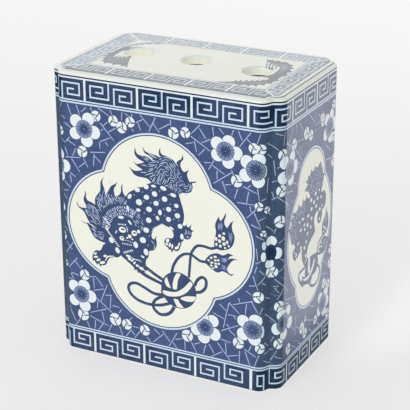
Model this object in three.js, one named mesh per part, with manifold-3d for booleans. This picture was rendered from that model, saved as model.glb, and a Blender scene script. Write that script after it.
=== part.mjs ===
// Ceramic pillow: a hollow box of six clay slabs, with three holes in its top.
// Millimetres, +Z up, +X towards the right end, the front face looks along -Y.
// The origin is the middle of the base, on the surface that the pillow stands on.
import * as THREE from "three";
import { mergeVertices } from "three/addons/utils/BufferGeometryUtils.js";
import Module from "manifold-3d";

const wasm = await Module();
wasm.setup();

// Overall size of the box
const LENGTH = 190;
const DEPTH = 121;
const HEIGHT = 230;

// Thickness of the slabs, and of the slip that joins two of them
const WALL = 10;
const TOP = 10;
const BASE = 10;
const SLIP = 0.3;

// Indented corners: each wall ends in a rounded lobe that turns in to a groove,
// and runs on straight for a little before the groove's bottom
const LOBE_RADIUS = 7;
const LOBE_TURN = THREE.MathUtils.degToRad(65);
const LOBE_RUN = 4;

// Rounded shoulder between the walls' top and the flat top
const SHOULDER_RISE = 4;
const SHOULDER_INSET = 5;
const GROOVE_FADE = 0.35;

// Three air holes with softened rims. They are cut by eye, one every pitch along the middle of
// the top, and each misses its place a little: [to the right, to the back].
const HOLE_RADIUS = 12;
const HOLE_PITCH = 51;
const HOLE_MISSES = [
  [0, 6],
  [-2, 5.5],
  [0.5, 0],
];
const RIM_TOP = 1.4;
const RIM_UNDER = 1;

// Clay coils pressed into the inner seams, with a thumb mark at every step
const COIL_LEG = 14;
const COIL_LIP = 1.5;
const COIL_SWELL = 1.2;
const THUMB_STEP = 22;

// How finely the round shapes are cut into flat faces
const LOBE_STEPS = 7;
const SHOULDER_STEPS = 6;
const HOLE_STEPS = 48;
const RIM_TOP_STEPS = 5;
const RIM_UNDER_STEPS = 2;
const COIL_ARC_STEPS = 5;
const THUMB_STEPS = 4;

// Heights and reaches that follow from the sizes above
const UNDER_TOP = HEIGHT - TOP;
const SHOULDER_FOOT = HEIGHT - SHOULDER_RISE;
const INNER_X = LENGTH / 2 - WALL;
const INNER_Y = DEPTH / 2 - WALL;
const QUARTER = Math.PI / 2;

const glazed = (colour) =>
  new THREE.MeshStandardMaterial({ color: colour, roughness: 0.16, metalness: 0 });
const bareClay = () =>
  new THREE.MeshStandardMaterial({ color: 0xe4ddcc, roughness: 0.85, metalness: 0 });

function named(name, geometry, material) {
  const mesh = new THREE.Mesh(geometry, material);
  mesh.name = name;
  return mesh;
}

// A lobe as offsets [along the face past its flat, in from the face]
function lobeOffsets(radius, turn, run) {
  const offsets = [];
  for (let i = 0; i <= LOBE_STEPS; i++) {
    const a = (turn * i) / LOBE_STEPS;
    offsets.push([radius * Math.sin(a), radius * (1 - Math.cos(a))]);
  }
  const [along, inward] = offsets[LOBE_STEPS];
  offsets.push([along + run * Math.cos(turn), inward + run * Math.sin(turn)]);
  return offsets;
}

// Plan of one wall slab: outer face on y = 0, body above it, mitred at both ends.
// The mitres lie on the diagonals through the two grooves, half a slip joint back.
function wallPlan(length) {
  const offsets = lobeOffsets(LOBE_RADIUS, LOBE_TURN, LOBE_RUN);
  const [reach, groove] = offsets[offsets.length - 1];
  const flatEnd = length / 2 - groove - reach;
  const back = SLIP / Math.SQRT2;
  const trim = back / (Math.cos(LOBE_TURN) + Math.sin(LOBE_TURN));
  const endX = flatEnd + reach - trim * Math.cos(LOBE_TURN);
  const endY = groove - trim * Math.sin(LOBE_TURN);
  const innerX = length / 2 - WALL - back;
  const plan = new THREE.Shape();
  plan.moveTo(-flatEnd, 0);
  plan.lineTo(flatEnd, 0);
  plan.absarc(flatEnd, LOBE_RADIUS, LOBE_RADIUS, -Math.PI / 2, -Math.PI / 2 + LOBE_TURN, false);
  plan.lineTo(endX, endY);
  plan.lineTo(innerX, WALL);
  plan.lineTo(-innerX, WALL);
  plan.lineTo(-endX, endY);
  plan.absarc(-flatEnd, LOBE_RADIUS, LOBE_RADIUS, -Math.PI / 2 - LOBE_TURN, -Math.PI / 2, false);
  return plan;
}

// A wall slab stands from the foot to the underside of the top slab
function wallSlab(name, length, turn, distance) {
  const geometry = new THREE.ExtrudeGeometry(wallPlan(length), {
    depth: UNDER_TOP - SLIP,
    bevelEnabled: false,
    curveSegments: LOBE_STEPS,
  });
  const slab = named(name, geometry, glazed(0x48528c));
  slab.rotation.z = turn;
  slab.position.set(distance * Math.sin(turn), -distance * Math.cos(turn), 0);
  return slab;
}

// The base slab lies between the four walls
function baseSlab() {
  const width = 2 * (INNER_X - SLIP);
  const depth = 2 * (INNER_Y - SLIP);
  const geometry = new THREE.BoxGeometry(width, depth, BASE);
  geometry.translate(0, 0, BASE / 2);
  return named("base_slab", geometry, bareClay());
}

// Outline of the whole box in plan, drawn in by an inset, anticlockwise from the front left.
// fade runs from 0 on the walls to 1 on the flat top, where the grooves are shallower.
function boxOutline(inset, fade) {
  const keep = 1 - GROOVE_FADE * fade;
  const offsets = lobeOffsets(LOBE_RADIUS, LOBE_TURN * keep, LOBE_RUN * keep);
  const [reach, groove] = offsets[offsets.length - 1];
  const halfX = LENGTH / 2 - inset;
  const halfY = DEPTH / 2 - inset;
  const corner = [];
  for (const [along, inward] of offsets) {
    corner.push([halfX - groove - reach + along, -halfY + inward]);
  }
  for (const [along, inward] of offsets.slice(0, -1).reverse()) {
    corner.push([halfX - inward, -halfY + groove + reach - along]);
  }
  const mirrored = [...corner].reverse();
  return [
    ...mirrored.map(([x, y]) => [-x, y]),
    ...corner,
    ...mirrored.map(([x, y]) => [x, -y]),
    ...corner.map(([x, y]) => [-x, -y]),
  ];
}

// Skin over rings of points that lie one above the other, closed by a flat cap at each end
function loftRings(rings) {
  const count = rings[0].length;
  const positions = rings.flat(2);
  const index = [];
  for (let r = 0; r + 1 < rings.length; r++) {
    for (let i = 0; i < count; i++) {
      const a = r * count + i;
      const b = r * count + ((i + 1) % count);
      index.push(a, b, b + count, a, b + count, a + count);
    }
  }
  const last = (rings.length - 1) * count;
  for (const [a, b, c] of capFaces(rings[0])) index.push(a, c, b);
  for (const [a, b, c] of capFaces(rings[rings.length - 1])) {
    index.push(last + a, last + b, last + c);
  }
  const geometry = new THREE.BufferGeometry();
  geometry.setAttribute("position", new THREE.Float32BufferAttribute(positions, 3));
  geometry.setIndex(index);
  return geometry;
}

function capFaces(ring) {
  const flat = ring.map(([x, y]) => new THREE.Vector2(x, y));
  return THREE.ShapeUtils.triangulateShape(flat, []);
}

function toSolid(geometry) {
  const bare = geometry.clone();
  bare.deleteAttribute("normal");
  bare.deleteAttribute("uv");
  const merged = mergeVertices(bare, 1e-4);
  return new wasm.Manifold(
    new wasm.Mesh({
      numProp: 3,
      vertProperties: merged.attributes.position.array,
      triVerts: new Uint32Array(merged.index.array),
    }),
  );
}

function toGeometry(solid) {
  const mesh = solid.getMesh();
  const geometry = new THREE.BufferGeometry();
  geometry.setAttribute("position", new THREE.Float32BufferAttribute(mesh.vertProperties, 3));
  geometry.setIndex(new THREE.Uint32BufferAttribute(mesh.triVerts, 1));
  return geometry;
}

// The top slab before it is pierced: upright sides, then a quarter of an ellipse to the flat top
function topBlank() {
  const rings = [boxOutline(0, 0).map(([x, y]) => [x, y, UNDER_TOP])];
  for (let i = 0; i <= SHOULDER_STEPS; i++) {
    const a = (i / SHOULDER_STEPS) * QUARTER;
    const inset = SHOULDER_INSET * (1 - Math.cos(a));
    const z = SHOULDER_FOOT + SHOULDER_RISE * Math.sin(a);
    rings.push(boxOutline(inset, inset / SHOULDER_INSET).map(([x, y]) => [x, y, z]));
  }
  return loftRings(rings);
}

// What the maker's hole cutter and wet sponge take away: a bore with rounded rims.
// over is how far it runs past both faces, and lift keeps each rim's arc from ending level
// with the face, so that it meets the face at a clean angle.
function holeCutter() {
  const over = 1;
  const lift = 0.15;
  const profile = [new THREE.Vector2(0, UNDER_TOP - over)];
  for (let i = 0; i <= RIM_UNDER_STEPS; i++) {
    const a = (i / RIM_UNDER_STEPS) * QUARTER;
    const r = HOLE_RADIUS + RIM_UNDER * (1 - Math.sin(a));
    profile.push(new THREE.Vector2(r, UNDER_TOP - lift + RIM_UNDER * (1 - Math.cos(a))));
  }
  for (let i = 0; i <= RIM_TOP_STEPS; i++) {
    const a = (i / RIM_TOP_STEPS) * QUARTER;
    const r = HOLE_RADIUS + RIM_TOP * (1 - Math.cos(a));
    profile.push(new THREE.Vector2(r, HEIGHT + lift - RIM_TOP * (1 - Math.sin(a))));
  }
  profile.push(new THREE.Vector2(HOLE_RADIUS + RIM_TOP, HEIGHT + over));
  profile.push(new THREE.Vector2(0, HEIGHT + over));
  const cutter = new THREE.LatheGeometry(profile, HOLE_STEPS);
  cutter.rotateX(Math.PI / 2);
  return cutter;
}

function topSlab() {
  let solid = toSolid(topBlank());
  HOLE_MISSES.forEach(([right, back], i) => {
    const place = (i - (HOLE_MISSES.length - 1) / 2) * HOLE_PITCH;
    const cutter = holeCutter();
    cutter.translate(place + right, back, 0);
    solid = solid.subtract(toSolid(cutter));
  });
  return named("top_slab", toGeometry(solid), glazed(0xe8eae0));
}

// Section of a seam coil, in the corner of two slabs that meet along x = 0 and y = 0.
// swell runs from 0 in a thumb mark to 1 between two marks.
function coilSection(swell) {
  const near = SLIP;
  const far = COIL_LEG;
  const lip = near + COIL_LIP;
  const points = [[near, near], [far, near]];
  const push = COIL_SWELL * swell;
  for (let i = 0; i <= COIL_ARC_STEPS; i++) {
    const a = (i / COIL_ARC_STEPS) * QUARTER;
    const bulge = push * Math.sin(2 * a);
    const radius = far - lip - bulge;
    points.push([far - radius * Math.sin(a), far - radius * Math.cos(a)]);
  }
  points.push([near, far]);
  return points;
}

// A seam coil of the given length along +Z from the origin
function seamCoil(name, length) {
  const marks = Math.max(1, Math.round(length / THUMB_STEP));
  const steps = marks * THUMB_STEPS;
  const rings = [];
  for (let i = 0; i <= steps; i++) {
    const swell = Math.sin((Math.PI * marks * i) / steps) ** 2;
    rings.push(coilSection(swell).map(([x, y]) => [x, y, (length * i) / steps]));
  }
  return named(name, loftRings(rings), bareClay());
}

// One coil stands in each upright corner, from the base slab to the top slab
function cornerCoil(name, signX, signY, turn) {
  const bottom = BASE + SLIP;
  const coil = seamCoil(name, UNDER_TOP - SLIP - bottom);
  coil.rotation.z = turn;
  coil.position.set(signX * INNER_X, signY * INNER_Y, bottom);
  return coil;
}

// One coil lies under the top slab along each wall, between two corner coils.
// turn is the wall's turn about Z, reach its inner face's distance and half its half length.
function upperCoil(name, turn, reach, half) {
  const run = half - COIL_LEG - SLIP;
  const coil = seamCoil(name, 2 * run);
  coil.rotation.y = QUARTER;
  coil.position.set(-run, -reach, UNDER_TOP);
  const holder = new THREE.Group();
  holder.rotation.z = turn;
  holder.add(coil);
  return holder;
}

const pillow = new THREE.Group();

pillow.add(wallSlab("front_slab", LENGTH, 0, DEPTH / 2));
pillow.add(wallSlab("right_end_slab", DEPTH, QUARTER, LENGTH / 2));
pillow.add(wallSlab("back_slab", LENGTH, 2 * QUARTER, DEPTH / 2));
pillow.add(wallSlab("left_end_slab", DEPTH, 3 * QUARTER, LENGTH / 2));
pillow.add(baseSlab());
pillow.add(topSlab());

pillow.add(cornerCoil("corner_coil_front_right", 1, -1, QUARTER));
pillow.add(cornerCoil("corner_coil_back_right", 1, 1, 2 * QUARTER));
pillow.add(cornerCoil("corner_coil_back_left", -1, 1, 3 * QUARTER));
pillow.add(cornerCoil("corner_coil_front_left", -1, -1, 0));

pillow.add(upperCoil("upper_coil_front", 0, INNER_Y, INNER_X));
pillow.add(upperCoil("upper_coil_right", QUARTER, INNER_X, INNER_Y));
pillow.add(upperCoil("upper_coil_back", 2 * QUARTER, INNER_Y, INNER_X));
pillow.add(upperCoil("upper_coil_left", 3 * QUARTER, INNER_X, INNER_Y));

export default pillow;
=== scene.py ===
import math
from functools import partial

import bpy
import numpy as np
from mathutils import Matrix, Vector
from mathutils.geometry import delaunay_2d_cdt


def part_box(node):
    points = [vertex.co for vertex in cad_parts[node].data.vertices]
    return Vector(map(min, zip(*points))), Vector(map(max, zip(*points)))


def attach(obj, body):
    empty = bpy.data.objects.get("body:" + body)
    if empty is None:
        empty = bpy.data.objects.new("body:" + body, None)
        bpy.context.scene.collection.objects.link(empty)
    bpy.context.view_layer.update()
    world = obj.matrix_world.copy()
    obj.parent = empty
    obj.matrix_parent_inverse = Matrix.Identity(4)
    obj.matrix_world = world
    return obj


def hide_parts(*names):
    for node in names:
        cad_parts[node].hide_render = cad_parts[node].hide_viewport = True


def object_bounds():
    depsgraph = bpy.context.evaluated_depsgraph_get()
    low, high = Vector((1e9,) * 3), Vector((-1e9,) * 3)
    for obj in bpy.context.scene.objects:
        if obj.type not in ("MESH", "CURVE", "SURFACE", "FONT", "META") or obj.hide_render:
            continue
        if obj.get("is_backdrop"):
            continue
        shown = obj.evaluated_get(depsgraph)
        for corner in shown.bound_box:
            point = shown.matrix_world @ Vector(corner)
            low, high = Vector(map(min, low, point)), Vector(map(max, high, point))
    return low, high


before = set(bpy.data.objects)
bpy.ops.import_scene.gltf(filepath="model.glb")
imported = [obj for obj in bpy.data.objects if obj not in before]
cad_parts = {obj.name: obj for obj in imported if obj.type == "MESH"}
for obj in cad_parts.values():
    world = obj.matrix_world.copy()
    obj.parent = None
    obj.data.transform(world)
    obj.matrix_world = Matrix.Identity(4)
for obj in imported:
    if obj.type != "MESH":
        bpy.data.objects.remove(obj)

cad_low, cad_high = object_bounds()

# Base slab and seam coils
# The slab that closes the box from below, and the clay coils that strengthen the inner seams.
# Bare clay: both are left unglazed, so that the pillow doesn't stick to the kiln shelf.


def new_node(tree, kind, inputs=None, **settings):
    node = tree.nodes.new(kind)
    for name, value in settings.items():
        setattr(node, name, value)
    for name, value in (inputs or {}).items():
        if isinstance(value, bpy.types.NodeSocket):
            tree.links.new(value, node.inputs[name])
        else:
            node.inputs[name].default_value = value
    return node


def blank_material(name):
    """A material with its two last nodes, and the point of the piece's surface in its own frame."""
    material = bpy.data.materials.new(name)
    material.use_nodes = True
    tree = material.node_tree
    tree.nodes.clear()
    surface = new_node(tree, "ShaderNodeBsdfPrincipled")
    output = new_node(tree, "ShaderNodeOutputMaterial")
    tree.links.new(surface.outputs[0], output.inputs["Surface"])
    place = new_node(tree, "ShaderNodeTexCoord").outputs["Object"]
    return material, tree, surface, place


CLAY_DARK = (0.62, 0.53, 0.40, 1)
CLAY_LIGHT = (0.80, 0.74, 0.62, 1)
CLAY_GRAIN = 900
CLAY_CLOUDS = 28

bare_clay, tree, surface, place = blank_material("bare_clay")
clouds = new_node(tree, "ShaderNodeTexNoise", {"Vector": place, "Scale": CLAY_CLOUDS, "Detail": 4})
grain = new_node(tree, "ShaderNodeTexNoise", {"Vector": place, "Scale": CLAY_GRAIN, "Detail": 3})
tone = new_node(tree, "ShaderNodeValToRGB", {"Fac": clouds.outputs["Fac"]})
tone.color_ramp.elements[0].color = CLAY_DARK
tone.color_ramp.elements[1].color = CLAY_LIGHT
tone.color_ramp.elements[0].position = 0.3
tone.color_ramp.elements[1].position = 0.65
relief = new_node(tree, "ShaderNodeBump", {"Height": grain.outputs["Fac"], "Strength": 0.5,
                                           "Distance": 0.0004})
tree.links.new(tone.outputs["Color"], surface.inputs["Base Color"])
tree.links.new(relief.outputs["Normal"], surface.inputs["Normal"])
surface.inputs["Roughness"].default_value = 0.9

for name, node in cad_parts.items():
    if name.endswith("base_slab") or "_coil_" in name:
        node.data.materials.clear()
        node.data.materials.append(bare_clay)

# Front slab
# A slab of white clay with a rounded lobe at each end. Its picture is a transfer print: cobalt
# printed on thin paper, rubbed off on the biscuit-fired clay, and sealed under a clear glaze.

MM = 0.001
LENGTH, DEPTH, HEIGHT = ((cad_high[i] - cad_low[i]) / MM for i in range(3))
UNDER_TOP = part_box("top_slab")[0].z / MM
WALL = 10.0
LOBE_RADIUS = 7.0
LOBE_TURN = math.radians(65)
LOBE_RUN = 4.0
LOBE_CUTS = 10
FOOT_ROUND = 0.9
FOOT_CUTS = 4
SHOULDER_RISE = 4.0
STRIP_TOP = HEIGHT - SHOULDER_RISE

LOBE_ARC = LOBE_RADIUS * LOBE_TURN
LOBE_REACH = LOBE_RADIUS * math.sin(LOBE_TURN) + LOBE_RUN * math.cos(LOBE_TURN)
GROOVE_DEPTH = LOBE_RADIUS * (1 - math.cos(LOBE_TURN)) + LOBE_RUN * math.sin(LOBE_TURN)
FRONT_FLAT = LENGTH / 2 - GROOVE_DEPTH - LOBE_REACH
END_FLAT = DEPTH / 2 - GROOVE_DEPTH - LOBE_REACH
FRONT_SHEET = FRONT_FLAT + LOBE_ARC + LOBE_RUN
END_SHEET = END_FLAT + LOBE_ARC + LOBE_RUN

# How much cobalt each part of the drawing carries, from bare glaze to the darkest key pattern
BARE, TINT, BAND, CRACK, HAIR, FAINT = 0.0, 0.06, 0.12, 0.27, 0.34, 0.42
FIELD, FIGURE, KEY = 0.72, 0.80, 0.93


def bend(points, steps=4):
    """A smooth line through given points."""
    p = np.array([points[0], *points, points[-1]], float)
    line = []
    for a, b, c, d in zip(p, p[1:], p[2:], p[3:]):
        for t in np.linspace(0, 1, steps, endpoint=False):
            line.append(0.5 * (2 * b + (c - a) * t + (2 * a - 5 * b + 4 * c - d) * t ** 2
                               + (3 * b - a - 3 * c + d) * t ** 3))
    return [*map(tuple, line), tuple(p[-1])]


def outline(*runs, steps=4):
    """A closed outline of smooth runs. Each run ends in a sharp point, where the next one starts."""
    line = []
    for run, after in zip(runs, [*runs[1:], runs[0]]):
        line += bend([*run, after[0]], steps)[:-1]
    return line


def round_spot(x, y, across, along=None, turn=0.0, corners=14):
    """An oval, with its half widths, turned by some degrees."""
    along = across if along is None else along
    c, s = math.cos(math.radians(turn)), math.sin(math.radians(turn))
    oval = []
    for i in range(corners):
        a = 2 * math.pi * i / corners
        u, v = across * math.cos(a), along * math.sin(a)
        oval.append((x + u * c - v * s, y + u * s + v * c))
    return oval


def stroke(points, *widths, steps=4):
    """A brush line, with its width at even steps from its start to its end."""
    line = np.array(bend(points, steps))
    way = np.gradient(line, axis=0)
    way /= np.linalg.norm(way, axis=1)[:, None]
    side = np.stack([-way[:, 1], way[:, 0]], 1)
    share = np.linspace(0, 1, len(line))
    half = np.interp(share, np.linspace(0, 1, len(widths)), widths)[:, None] / 2
    return [*map(tuple, line + side * half), *map(tuple, (line - side * half)[::-1])]


def key_line(corners, width):
    """A line of straight runs with sharp corners."""
    p = np.array(corners, float)
    way = np.diff(p, axis=0)
    way /= np.linalg.norm(way, axis=1)[:, None]
    side = np.stack([-way[:, 1], way[:, 0]], 1)
    inner = (side[:-1] + side[1:]) / (1 + (side[:-1] * side[1:]).sum(1))[:, None]
    half = np.vstack([side[:1], inner, side[-1:]]) * width / 2
    return [*map(tuple, p + half), *map(tuple, (p - half)[::-1])]


def bar(x0, y0, x1, y1):
    return [(x0, y0), (x1, y0), (x1, y1), (x0, y1)]


class Transfer:
    """A printed sheet: outlines laid one over the other, each with its cobalt."""

    def __init__(self):
        self.outlines = []

    def lay(self, line, cobalt):
        self.outlines.append((np.array(line, float), cobalt))

    def shape(self, cobalt, *runs):
        self.lay(outline(*runs), cobalt)

    def brush(self, cobalt, points, *widths, steps=4):
        self.lay(stroke(points, *widths, steps=steps), cobalt)

    def spots(self, cobalt, ovals, corners=14):
        for oval in ovals:
            self.lay(round_spot(*oval, corners=corners), cobalt)

    def cobalt_at(self, spots):
        """How much cobalt lies on each spot: that of the last outline that goes round it."""
        cobalt = np.zeros(len(spots))
        for line, amount in self.outlines:
            low, high = line.min(0), line.max(0)
            near = np.flatnonzero(((spots >= low) & (spots <= high)).all(1))
            if not len(near):
                continue
            x, y = spots[near, 0][:, None], spots[near, 1][:, None]
            ax, ay = line[:, 0], line[:, 1]
            bx, by = np.roll(ax, -1), np.roll(ay, -1)
            left = (bx - ax) * (y - ay) - (x - ax) * (by - ay)
            winds = ((ay <= y) & (by > y) & (left > 0)).sum(1)
            winds = winds - ((ay > y) & (by <= y) & (left < 0)).sum(1)
            cobalt[near[winds != 0]] = amount
        return cobalt

    def cut_sheet(self, border, cuts=(), holes=()):
        """The sheet as triangles that follow the drawing: points, triangles, and cobalt of each."""
        points, lines = [], []
        for line in [border, *holes, *(o for o, _ in self.outlines)]:
            first, count = len(points), len(line)
            points += [tuple(p) for p in line]
            lines += [(first + i, first + (i + 1) % count) for i in range(count)]
        for a, b in cuts:
            lines.append((len(points), len(points) + 1))
            points += [a, b]
        made = delaunay_2d_cdt(points, lines, [], 0, 1e-4, False)
        spots = np.array([tuple(p) for p in made[0]])
        faces = np.array([f for f in made[2] if len(f) == 3])
        middles = spots[faces].mean(1)
        within = Transfer()
        within.lay(border, 1)
        for hole in holes:
            within.lay(hole, 0)
        faces = faces[within.cobalt_at(middles) > 0]
        used, faces = np.unique(faces, return_inverse=True)
        faces = faces.reshape(-1, 3)
        spots = spots[used]
        return spots, faces, self.cobalt_at(spots[faces].mean(1))


KEY_PERIOD = 44.25
KEY_HEIGHT = 15.8
KEY_LINE = 1.25
KEY_BAR = 1.8
FIRST_SPIRAL = [(20.3, 0), (20.3, 12.4), (4.8, 12.4), (4.8, 3.6), (15.5, 3.6), (15.5, 8.1), (9.3, 8.1)]
SECOND_SPIRAL = [(24.9, 0), (24.9, 12.4), (39.7, 12.4), (39.7, 3.5), (29.6, 3.5), (29.6, 7.9), (35.2, 7.9)]


def key_pattern(transfer, bars, low, high, rising, bar_width=KEY_BAR, line_width=KEY_LINE):
    """A row of square spirals in pairs between upright bars. rising says which of each pair
    starts at the lower edge: the second in the upper row, the first in the lower row."""
    for x in bars:
        transfer.lay(bar(x - bar_width / 2, low, x + bar_width / 2, high), TINT)
        for turns, rises in ((FIRST_SPIRAL, rising == "first"), (SECOND_SPIRAL, rising == "second")):
            base, up = (low, 1) if rises else (high, -1)
            transfer.lay(key_line([(x + a, base + up * b) for a, b in turns], line_width), BAND)


PETAL_RIM = 0.4


def lay_petals(transfer, petals, rim):
    """Round white petals with a dark rim. The narrow ones bend into a groove, where cobalt ran."""
    for x, y, across, along in petals:
        transfer.spots(rim, [(x, y, across + PETAL_RIM, along + PETAL_RIM)], 20)
        transfer.spots(TINT if across > 2 else BAND, [(x, y, across, along)], 20)


def blossom(transfer, x, y, petals, size):
    """A plum blossom: its petals, and a dark heart with a ring of fine stamens."""
    lay_petals(transfer, petals, FIGURE)
    transfer.spots(FIELD, [(x, y, size)], 28)
    thin, thick = 0.08, 0.30
    for i in range(30):
        a = 2 * math.pi * (i + 0.5) / 30
        near, far = (0.56, 0.66, 0.48)[i % 3] * size, (1.0, 0.93)[i % 2] * size
        c, s = math.cos(a), math.sin(a)
        transfer.lay([(x + r * c + w * s, y + r * s - w * c)
                      for r, w in ((near, thin), (far, thick), (far, -thick), (near, -thin))], CRACK)
    for i in range(14):
        a = 2 * math.pi * i / 14
        c, s = math.cos(a), math.sin(a)
        transfer.brush(KEY, [(x + c, y + s), (x + 0.5 * size * c, y + 0.5 * size * s)], 0.5, 0.15, steps=1)
    transfer.spots(KEY, [(x, y, 1.3)], 10)
    transfer.spots(HAIR, [(x, y, 0.5)], 6)


def bud(transfer, x, y, turn=0.0, size=1.0):
    """A plum bud: a white ball, with three dark lines from a small three-cornered eye to its rim."""
    transfer.lay(round_spot(x, y, 4.3 * size, 4.5 * size, corners=20), TINT)
    corners = [math.radians(turn + 120 * i) for i in range(3)]
    eye = [(x + 1.7 * size * math.cos(a), y + 1.7 * size * math.sin(a)) for a in corners]
    for a, tip in zip(corners, eye):
        b = a + 0.45
        rim = (x + 4.6 * size * math.cos(b), y + 4.6 * size * math.sin(b))
        transfer.brush(FIGURE, [tip, rim], 0.85, 1.05, steps=1)
    transfer.brush(FIGURE, [*eye, eye[0]], 0.85, steps=1)


CRACK_WIDTH = 0.64


def cracks(transfer, lines):
    """Straight pale lines of cracked ice, each a little thinner at its far end."""
    for x0, y0, x1, y1 in lines:
        transfer.brush(CRACK, [(x0, y0), (x1, y1)], CRACK_WIDTH * 1.1, CRACK_WIDTH * 0.8, steps=1)


def quatrefoil(transfer, lobes):
    """A four-lobed picture frame: a pale band, a thin dark line, and the bare ground inside.
    lobes are the centre and radius of the top, right, bottom and left lobe's circle."""
    layers = ((0.0, BAND), (1.35, KEY), (2.15, BARE))
    for drawn_in, cobalt in layers:
        cusps = []
        for (x0, y0, r0), (x1, y1, r1) in zip(lobes, [*lobes[1:], lobes[0]]):
            r0, r1 = r0 - drawn_in, r1 - drawn_in
            gap = math.hypot(x1 - x0, y1 - y0)
            along = (r0 ** 2 - r1 ** 2 + gap ** 2) / (2 * gap)
            off = math.sqrt(r0 ** 2 - along ** 2)
            ux, uy = (x1 - x0) / gap, (y1 - y0) / gap
            cusps.append((x0 + ux * along - uy * off, y0 + uy * along + ux * off))
        line = []
        for i, (x, y, r) in enumerate(lobes):
            r = r - drawn_in
            start, end = cusps[i - 1], cusps[i]
            a0 = math.atan2(start[1] - y, start[0] - x)
            a1 = math.atan2(end[1] - y, end[0] - x)
            while a1 > a0:
                a1 -= 2 * math.pi
            steps = 22
            line += [(x + r * math.cos(a0 + (a1 - a0) * k / steps),
                      y + r * math.sin(a0 + (a1 - a0) * k / steps)) for k in range(steps)]
        transfer.lay(line, cobalt)


def hairs(transfer, guide_a, guide_b, count, width):
    """Pale hair lines that fill the stretch between two guide lines, some of them broken off."""
    draw = np.random.default_rng(1)
    share = np.linspace(0, 1, 13)
    a, b = (np.stack([np.interp(share, np.linspace(0, 1, len(line)), line[:, k]) for k in (0, 1)], 1)
            for line in (np.array(bend(guide_a, 6)), np.array(bend(guide_b, 6))))
    for i in range(count):
        t = (i + 0.5) / count
        first = draw.integers(0, 3)
        last = len(share) - draw.integers(0, 4)
        transfer.brush(HAIR, (a * (1 - t) + b * t)[first:last], 0.15, width, 0.15, steps=1)


def curls(transfer, guide, pitch, size):
    """A row of small pale crescents across a guide line, like tight locks of hair."""
    line = np.array(bend(guide, 8))
    run = np.r_[0, np.cumsum(np.linalg.norm(np.diff(line, axis=0), axis=1))]
    for at in np.arange(pitch / 2, run[-1], pitch):
        x, x2 = np.interp((at, at + 0.1), run, line[:, 0])
        y, y2 = np.interp((at, at + 0.1), run, line[:, 1])
        way = math.atan2(y2 - y, x2 - x) + math.radians(90)
        arc = [(x + size * math.cos(way + b), y + size * math.sin(way + b))
               for b in (-1.2, -0.5, 0.3, 1.0)]
        transfer.brush(BAND, arc, 0.2, 0.5, 0.2, steps=2)


def comb(transfer, region, guides, pitch=1.08, longest=8.0, width=0.58, cobalts=(BAND, BAND, CRACK),
         margin=0.55, seed=3):
    """Fine hair lines at an even distance that fill a region. guides are [x, y, degrees], the ways
    in which the hair lies; between them the way is blended."""
    draw = np.random.default_rng(seed)
    within = Transfer()
    within.lay(region, 1)
    guides = np.array(guides, float)
    ways = np.stack([np.cos(np.radians(guides[:, 2])), np.sin(np.radians(guides[:, 2]))], 1)
    stride = 0.5
    laid = []

    def free(spot):
        edge = spot + margin * np.array([(0, 0), (1, 0), (-1, 0), (0, 1), (0, -1)])
        return within.cobalt_at(edge).all() and (
            not laid or ((np.array(laid) - spot) ** 2).sum(1).min() > pitch ** 2)

    def grown(at, sign):
        line = []
        for _ in range(int(longest / stride / 2)):
            nearness = 1 / (((guides[:, :2] - at) ** 2).sum(1) + 0.2) ** 1.5
            way = (ways * nearness[:, None]).sum(0)
            at = at + sign * stride * way / max(np.linalg.norm(way), 1e-6)
            if not free(at):
                break
            line.append(at)
        return line

    low, high = np.min(region, 0), np.max(region, 0)
    count = 0
    for spot in draw.uniform(low, high, (int(3 * (high - low).prod() / pitch ** 2), 2)):
        if not free(spot):
            continue
        whole = grown(spot, -1)[::-1] + [spot] + grown(spot, 1)
        if len(whole) >= 4:
            laid += whole
            count += 1
            transfer.brush(cobalts[count % len(cobalts)], whole[:-1:2] + [whole[-1]], 0.25, width, 0.25,
                           steps=1)


def tufts(transfer, x, y, near, far, start, turn):
    """Rows of short bent hair dashes round a point, which stand away from it like tight curls."""
    draw = np.random.default_rng(4)
    dash_gap, row_gap = 1.75, 2.5
    for row, r in enumerate(np.arange(near, far, row_gap)):
        step = math.degrees(dash_gap / r)
        for k in range(int(turn / step)):
            a = math.radians(start + (k + 0.5 * (row % 2) + draw.uniform(-0.15, 0.15)) * step)
            out = r + draw.uniform(-0.4, 0.4)
            dash = [(x + (out + u) * math.cos(a + b), y + (out + u) * math.sin(a + b))
                    for u, b in ((0, 0), (1.1, 0.05), (2.1, 0.01))]
            transfer.brush((BAND, BAND, CRACK)[(k + row) % 3], dash, 0.4, 0.8, 0.3, steps=2)


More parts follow.
